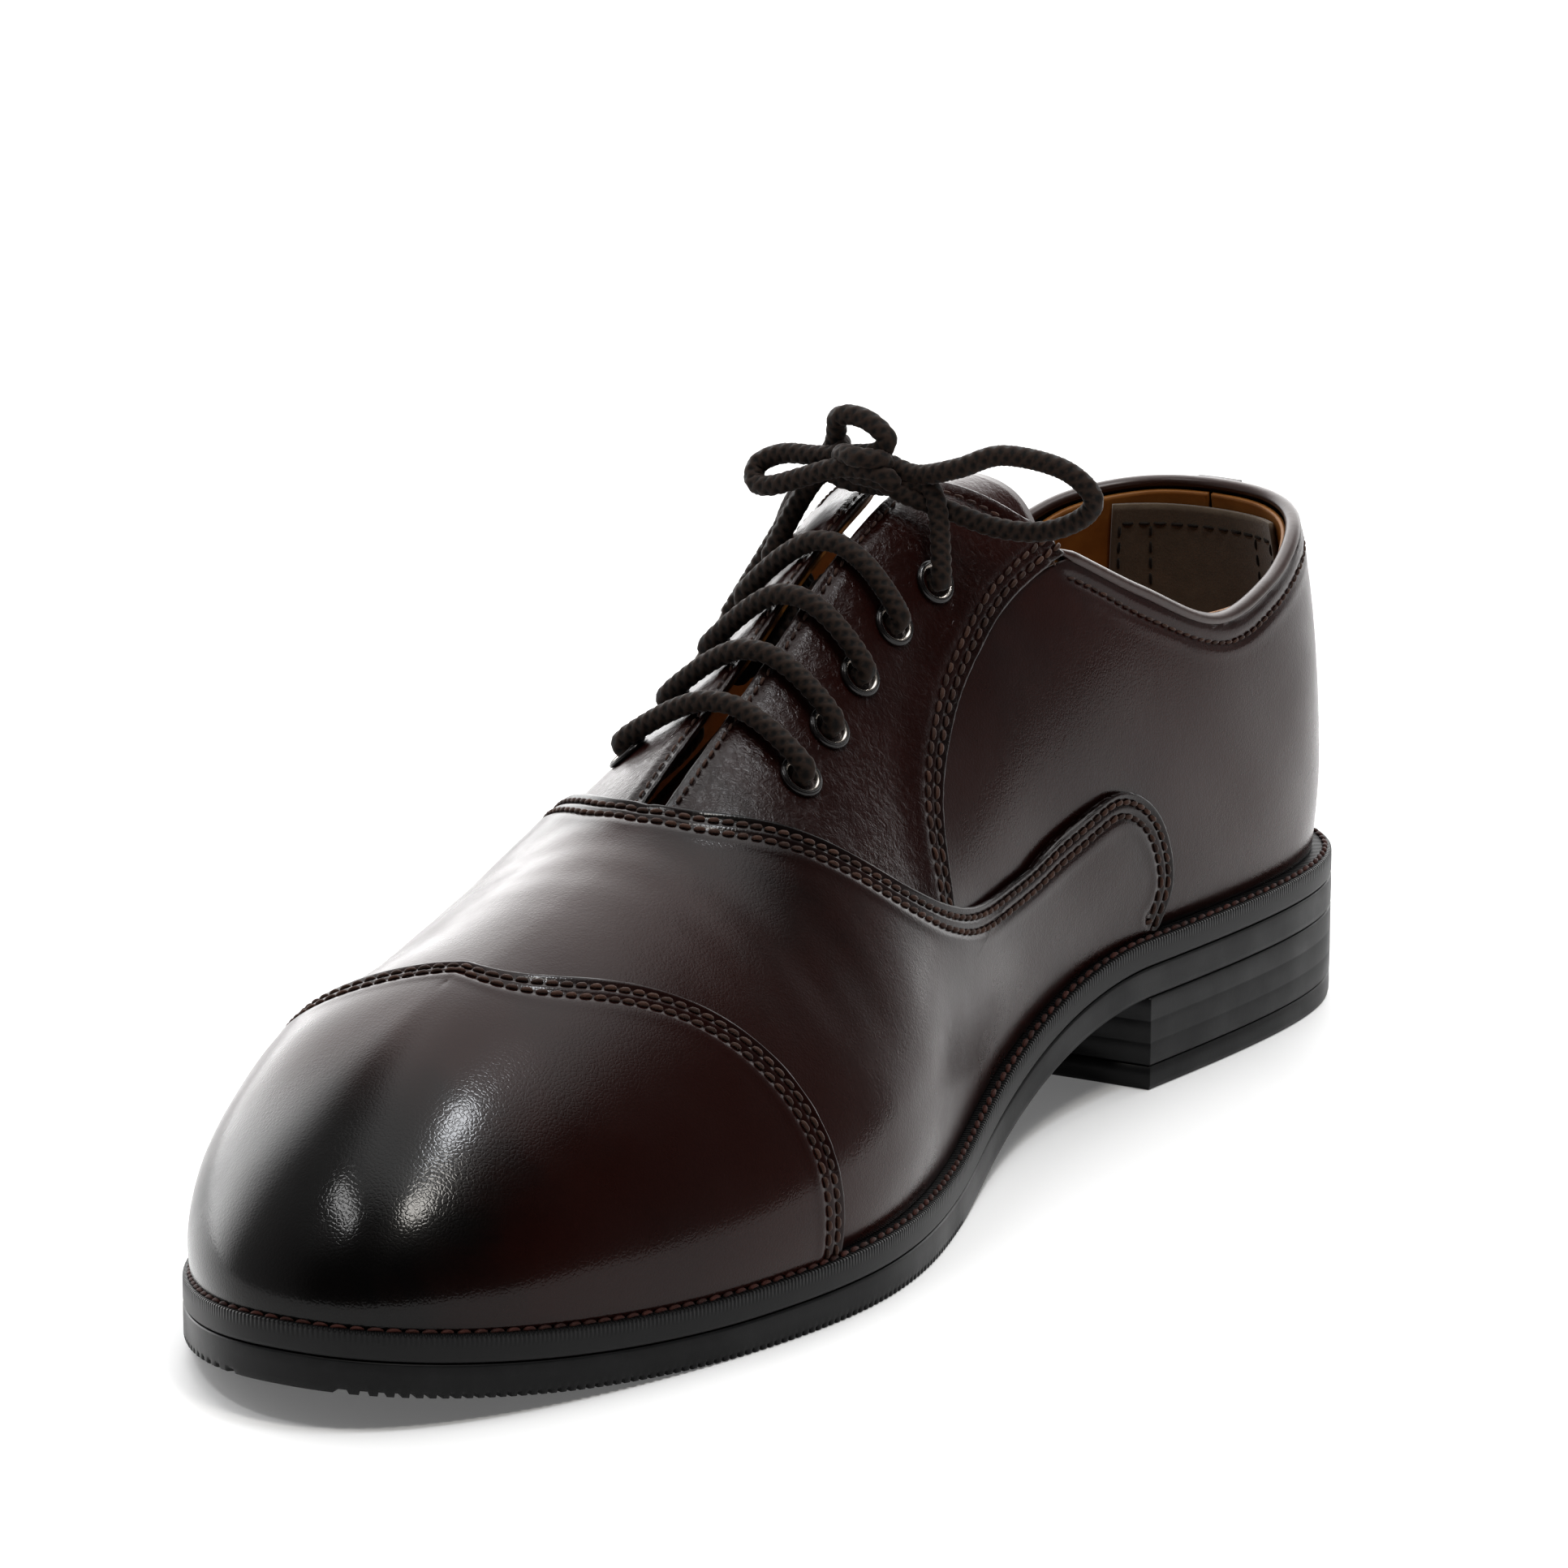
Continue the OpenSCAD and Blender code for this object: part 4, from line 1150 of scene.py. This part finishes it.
def edge_pt(u, side, d):
    """Plan point d outside the feather line; side is the ROWS column, 1 inner and 2 outer."""
    u = np.asarray(u, float)
    h = .004
    a, b, c = rib(u), rib(np.minimum(u + h, 1)), rib(np.maximum(u - h, 0))
    t = unit(np.stack([b[..., side] - c[..., side], -(b[..., 0] - c[..., 0])], -1))
    n = np.stack([-t[..., 1], t[..., 0]], -1) * (1 if side == 1 else -1)
    n = np.where((u <= 0)[..., None], [0., 1.], np.where((u >= 1)[..., None], [0., -1.], n))
    d = np.reshape(np.broadcast_to(d, np.shape(u)), np.shape(u) + (1,))
    return np.stack([a[..., side], HEEL_Y - a[..., 0]], -1) + d * n


def margin(u):
    """How far the sole edge stands out from the feather line."""
    return SEAT_MARGIN + (WELT_MARGIN - SEAT_MARGIN) * ease(.25, .45, u)


def stations(lo, hi, tread=False):
    """Distances from the heel back, close together at the tips and on every tread corner."""
    tips = (1 - np.cos(np.linspace(0, np.pi / 2, 26))) * TIP
    s = np.concatenate([lo + tips, hi - tips, np.arange(lo + TIP, hi - TIP, 1.2)])
    if tread:
        starts = np.arange(TREAD_START, hi - TREAD_PITCH, TREAD_PITCH)
        s = np.concatenate([s[(s < TREAD_START) | (s > hi - TIP)]]
                           + [starts + TREAD_PITCH * f for f in (0, .2, .45, .55, .75, .95)])
    return np.unique(np.round(s, 4))


def u_of(side, s, d=0.):
    """u values whose sole edge lies at the given distances from the heel back."""
    u = np.concatenate([np.linspace(0, .02, 40), np.linspace(.02, .98, 900)[1:],
                        np.linspace(.98, 1, 80)[1:]])
    y = edge_pt(u, side, margin(u) + d)[:, 1]
    return np.interp(s, HEEL_Y - y, u)


def tread(s):
    """Depth of the tread grooves under the forepart."""
    f = np.mod(s - TREAD_START, TREAD_PITCH) / TREAD_PITCH
    cut = ease(.45, .55, f) * (1 - ease(.95, 1, f))
    return TREAD_DEPTH * cut * (s > TREAD_START) * (s < TREAD_END)


S_LO = HEEL_BACK_S
S_HI = HEEL_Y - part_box("outsole_forepart")[0].y / MM


def ring_points(s, d, height, cut=None):
    """Loop round the sole, heel to toe on the inner side and back, at a height above its underside."""
    rings = []
    for side in (1, 2):
        u = u_of(side, s)
        xy = edge_pt(u, side, margin(u) + d)
        z = z_low(HEEL_Y - xy[:, 1]) + height + (cut(s) if cut else 0)
        rings.append(np.column_stack([xy, z]))
    return np.vstack([rings[0], rings[1][-2:0:-1]])


def fill(bag, loop, start, n):
    """Closes a loop of ring_points with bars between its two sides."""
    inner = np.arange(n)
    outer = np.concatenate([[0], np.arange(len(loop) - 1, n - 1, -1), [n - 1]])
    bag.faces += [[start + inner[i], start + inner[i + 1], start + outer[i + 1], start + outer[i]]
                  for i in range(n - 1)]


def make_outsole():
    s = stations(S_LO, S_HI, tread=True)
    n = len(s)
    top = OUTSOLE_T
    side = [(-14, top), (-1, top), (-.35, top - .02), (-.08, top - .16), (0, top - .45), (.02, 3.2),
            (0, 1.9), (0, 1.1)]
    toothed = [(-.02, .45), (-.15, .12), (-.45, 0), (-2.5, 0), (-7, 0), (-14, 0)]
    rings = [ring_points(s, d, h) for d, h in side]
    rings += [ring_points(s, d, h, tread) for d, h in toothed]
    cols = len(rings[0])
    bag = Bag()
    bag.add(np.vstack(rings), grid_faces(len(rings), cols, wrap=True))
    fill(bag, rings[0], 0, n)
    fill(bag, rings[-1], (len(rings) - 1) * cols, n)
    obj = bag.make("outsole_rubber", RUBBER_MAT)
    return place(obj, ["outsole_rear", "outsole_forepart"])


def make_welt():
    s = stations(S_LO, S_HI)
    base = OUTSOLE_T + .05
    profile = [(-9, SOLE_T), (-3.2, SOLE_T), (-2.2, SOLE_T), (-1.2, SOLE_T), (-.55, SOLE_T - .02),
               (-.22, SOLE_T - .1), (-.05, SOLE_T - .3), (0, SOLE_T - .6), (.02, SOLE_T - 2),
               (0, base + .7), (-.08, base + .25), (-.3, base + .06), (-1, base), (-9, base)]
    top = [1, 1, 1, 1, 1, .9, .6, .25, 0, 0, 0, 0, 0, 0]
    rings = [ring_points(s, d, h) for d, h in profile]
    cols = len(rings[0])
    along = arc(np.vstack([rings[4], rings[4][:1]]))
    rib_pitch = .75
    count = round(along[-1] / rib_pitch)
    rib_no = along[:-1] / along[-1] * count
    bag = Bag()
    bag.add(np.vstack(rings), hoop_faces(len(rings), cols), rib=np.tile(rib_no, len(rings)),
            top=np.repeat(top, cols))
    obj = bag.make("welt_ribbed", RIBBED_MAT)
    return place(obj, ["welt"])


def make_welt_stitch():
    s = stations(S_LO, S_HI)
    loop = ring_points(s, -1.15, SOLE_T + .12)
    loop = np.vstack([loop, loop[:1]])
    bag = Bag()
    sew_line(bag, loop, lambda where: np.tile([0, 0, 1.], (len(where), 1)), length=2.35, width=.85,
             height=.7, lean=10)
    obj = bag.make("welt_thread_row", WELT_THREAD_MAT, weld=False)
    return place(obj, ["welt_stitch"])


def flat_layer(name, inset_d, lo, hi, material, node, dish=0):
    """A flat inner layer between two heights, inset from the feather line, its middle dished."""
    tips = (1 - np.cos(np.linspace(0, np.pi / 2, 24))) * .08
    u = np.concatenate([tips, np.linspace(.08, .92, 120)[1:-1], 1 - tips[::-1]])
    inner, outer = edge_pt(u, 1, -inset_d), edge_pt(u, 2, -inset_d)
    w = (1 - np.cos(np.linspace(0, np.pi, 28))) / 2
    xy = inner[:, None] * (1 - w[None, :, None]) + outer[:, None] * w[None, :, None]
    s = HEEL_Y - xy[..., 1]
    top = np.dstack([xy, hi(s) - dish * np.sin(np.pi * w)[None]])
    low = np.dstack([xy, lo(s)])
    bag = Bag()
    bag.add(np.concatenate([top.reshape(-1, 3), low.reshape(-1, 3)]), slab_faces(*s.shape))
    obj = bag.make(name, material)
    return place(obj, [node])


def pad_top(s):
    """Top of the heel pad, which tapers to the insole board in front."""
    return z_seat(s) + 2.2 + 2.6 * (1 - ease(70, 104, s))


def make_inner_layers():
    flat_layer("cork_filling", 9.3, lambda s: z_low(s) + OUTSOLE_T + .05, z_seat, CORK_MAT,
               "cork_filler")
    flat_layer("insole_board_fibre", 3.9, lambda s: z_seat(s) + .1, lambda s: z_seat(s) + BOARD_T,
               BOARD_MAT, "insole_board")
    flat_layer("sock_liner_leather", 4.2, pad_top, lambda s: pad_top(s) + SOCK_T, LINING_MAT,
               "sock_liner", dish=-.3)


def heel_loop(s, d, z):
    """Loop round the heel from the inner breast corner to the outer one; z is one height or many."""
    sides = []
    for side in (1, 2):
        u = u_of(side, s)
        xy = edge_pt(u, side, margin(u) + d)
        xy[:, 1] = np.maximum(xy[:, 1], HEEL_Y - BREAST - d)
        sides.append(np.column_stack([xy, np.broadcast_to(z, len(s))]))
    return np.vstack([sides[0][::-1], sides[1][1:]])


def heel_part(name, node, s, profile, cut=None):
    """Closed slice of the heel; profile rows are (outward step, height, whether the teeth cut it)."""
    rings = [heel_loop(s, d, z + (cut(s) if toothed else 0)) for d, z, toothed in profile]
    cols = len(rings[0])
    bag = Bag()
    bag.add(np.vstack(rings), grid_faces(len(rings), cols, wrap=True))
    for ring_no in (0, len(rings) - 1):
        mid = ring_no * cols + len(s) - 1
        bag.faces.append([mid, mid - 1, mid + 1])
        bag.faces += [[mid - i, mid - 1 - i, mid + 1 + i, mid + i] for i in range(1, len(s) - 1)]
    obj = bag.make(name, RUBBER_MAT)
    return place(obj, [node], REAR)


def heel_teeth(s):
    f = np.mod(s, TREAD_PITCH) / TREAD_PITCH
    return .5 * ease(.46, .54, f) * (1 - ease(.95, 1, f)) * (s < HEEL_TEETH_END)


def make_heel():
    """Heel block with faint lift lines, and the top piece with its toothed back edge."""
    tips = (1 - np.cos(np.linspace(0, np.pi / 2, 30))) * TIP
    s = np.unique(np.concatenate([S_LO + tips, np.arange(S_LO + TIP, BREAST, .5), [BREAST]]))
    top = HEEL_HEIGHT - .05
    profile = [(-6, top, 0), (-.5, top, 0), (-.1, top - .1, 0), (0, top - .3, 0)]
    for z in (11.6, 7.9):
        profile += [(-.02, z + .16, 0), (-.09, z, 0), (-.02, z - .16, 0)]
    profile += [(-.08, 4.35, 0), (-.3, 4.05, 0), (-6, 4.05, 0)]
    heel_part("heel_lifts", "heel_block", s, profile)
    profile = [(-6, 4.0, 0), (-.4, 4.0, 0), (-.1, 3.85, 0), (-.08, 2, 0), (-.12, .9, 1), (-.3, .15, 1),
               (-.6, 0, 1), (-6, 0, 1)]
    heel_part("heel_top_rubber", "heel_top_piece", s, profile, heel_teeth)


# ---------- build ----------
make_cap()
make_vamp()
for foot_side in (1, -1):
    make_quarter(foot_side)
    make_facing(foot_side)
    make_side_lining(foot_side)
    make_eyelets(foot_side)
make_vamp_lining()
make_counter()
make_toe_puff()
make_grip()
make_tongue()
make_heel_tab()
make_binding()
make_lace()
make_outsole()
make_welt()
make_welt_stitch()
make_inner_layers()
make_heel()
place(threads.make("upper_seam_threads", THREAD_MAT, weld=False), [])

for node, material in (("shank", STEEL_MAT), ("heel_nails", NAIL_MAT), ("heel_pad", FOAM_MAT)):
    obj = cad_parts[node]
    obj.data.materials.clear()
    obj.data.materials.append(material)


# ---------- stage ----------
def make_floor():
    mesh = bpy.data.meshes.new("floor")
    size = 6
    corners = [(-size, -size, 0), (size, -size, 0), (size, size, 0), (-size, size, 0)]
    mesh.from_pydata(corners, [], [(0, 1, 2, 3)])
    m = Mat("pale_floor")
    m.finish(Base_Color=(.86, .86, .86), Roughness=.6, Specular_IOR_Level=.2,
             Emission_Color=(1, 1, 1), Emission_Strength=.12,
             Normal=m.bump(m.noise(260, 4, .6), .12, .4 * MM))
    mesh.materials.append(m.m)
    show(bpy.data.objects.new("floor", mesh))


def aim(obj, place_at, look):
    """Puts a lamp or camera in place, facing a point."""
    obj.location = place_at
    obj.rotation_mode = "QUATERNION"
    obj.rotation_quaternion = (Vector(look) - Vector(place_at)).to_track_quat("-Z", "Y")
    return show(obj)


def add_softbox(name, place_at, look, width, height, power, color=(1, 1, 1)):
    light = bpy.data.lights.new(name, "AREA")
    light.shape = "RECTANGLE"
    light.size, light.size_y = width, height
    light.energy = power
    light.color = color
    aim(bpy.data.objects.new(name, light), place_at, look)


# Bright parts of the surroundings: direction, cosine where each starts and is full, strength
STUDIO = [((-.6, .8, 0), .42, .85, 2.8), ((0, .25, .97), .82, .96, 1.9), ((-1, 0, 0), .1, .8, .45),
          ((.5, .8, 0), .5, 1, .22)]
DARK_ROOM = .01


def make_world():
    """Dark room with soft bright areas, seen by the camera as plain white."""
    world = bpy.data.worlds.new("studio")
    world.use_nodes = True
    g = Graph(world.node_tree)
    back = g.tree.nodes["Background"]
    back.inputs["Color"].default_value = (1, 1, 1, 1)
    toward = g.node("ShaderNodeTexCoord").outputs["Generated"]
    total = 0.
    for direction, start, full, strength in STUDIO:
        dot = g.node("ShaderNodeVectorMath")
        dot.operation = "DOT_PRODUCT"
        g.set(dot, 0, toward)
        dot.inputs[1].default_value = direction
        total = g.math("ADD", total, g.span(dot.outputs["Value"], start, full, DARK_ROOM, strength))
    camera_ray = g.node("ShaderNodeLightPath").outputs["Is Camera Ray"]
    seen = g.node("ShaderNodeMix", A=total, B=1, Factor=camera_ray)
    g.set(back, "Strength", seen.outputs[0])
    bpy.context.scene.world = world


def make_camera():
    azimuth, elevation, distance = math.radians(30.3), math.radians(14), 1.249
    back = Vector((math.sin(azimuth) * math.cos(elevation), -math.cos(azimuth) * math.cos(elevation),
                   math.sin(elevation)))
    data = bpy.data.cameras.new("camera")
    data.sensor_width = 36
    data.lens = 186
    bpy.context.scene.camera = aim(bpy.data.objects.new("camera", data), middle + back * distance, middle)


middle = (cad_box[0] + cad_box[1]) / 2
make_floor()
make_world()
add_softbox("front_strip", (-.29, -.686, 1.24), middle, .5, .12, 2.6)
add_softbox("warm_key", (.565, -.383, 1.214), middle, .22, .2, 3.6, (1, .97, .92))
add_softbox("cool_key", (.411, -.06, 1.306), middle, .24, .14, 3, (.93, .96, 1))
make_camera()
view = bpy.context.scene.view_settings
view.view_transform = "Standard"
view.look = "Medium High Contrast"
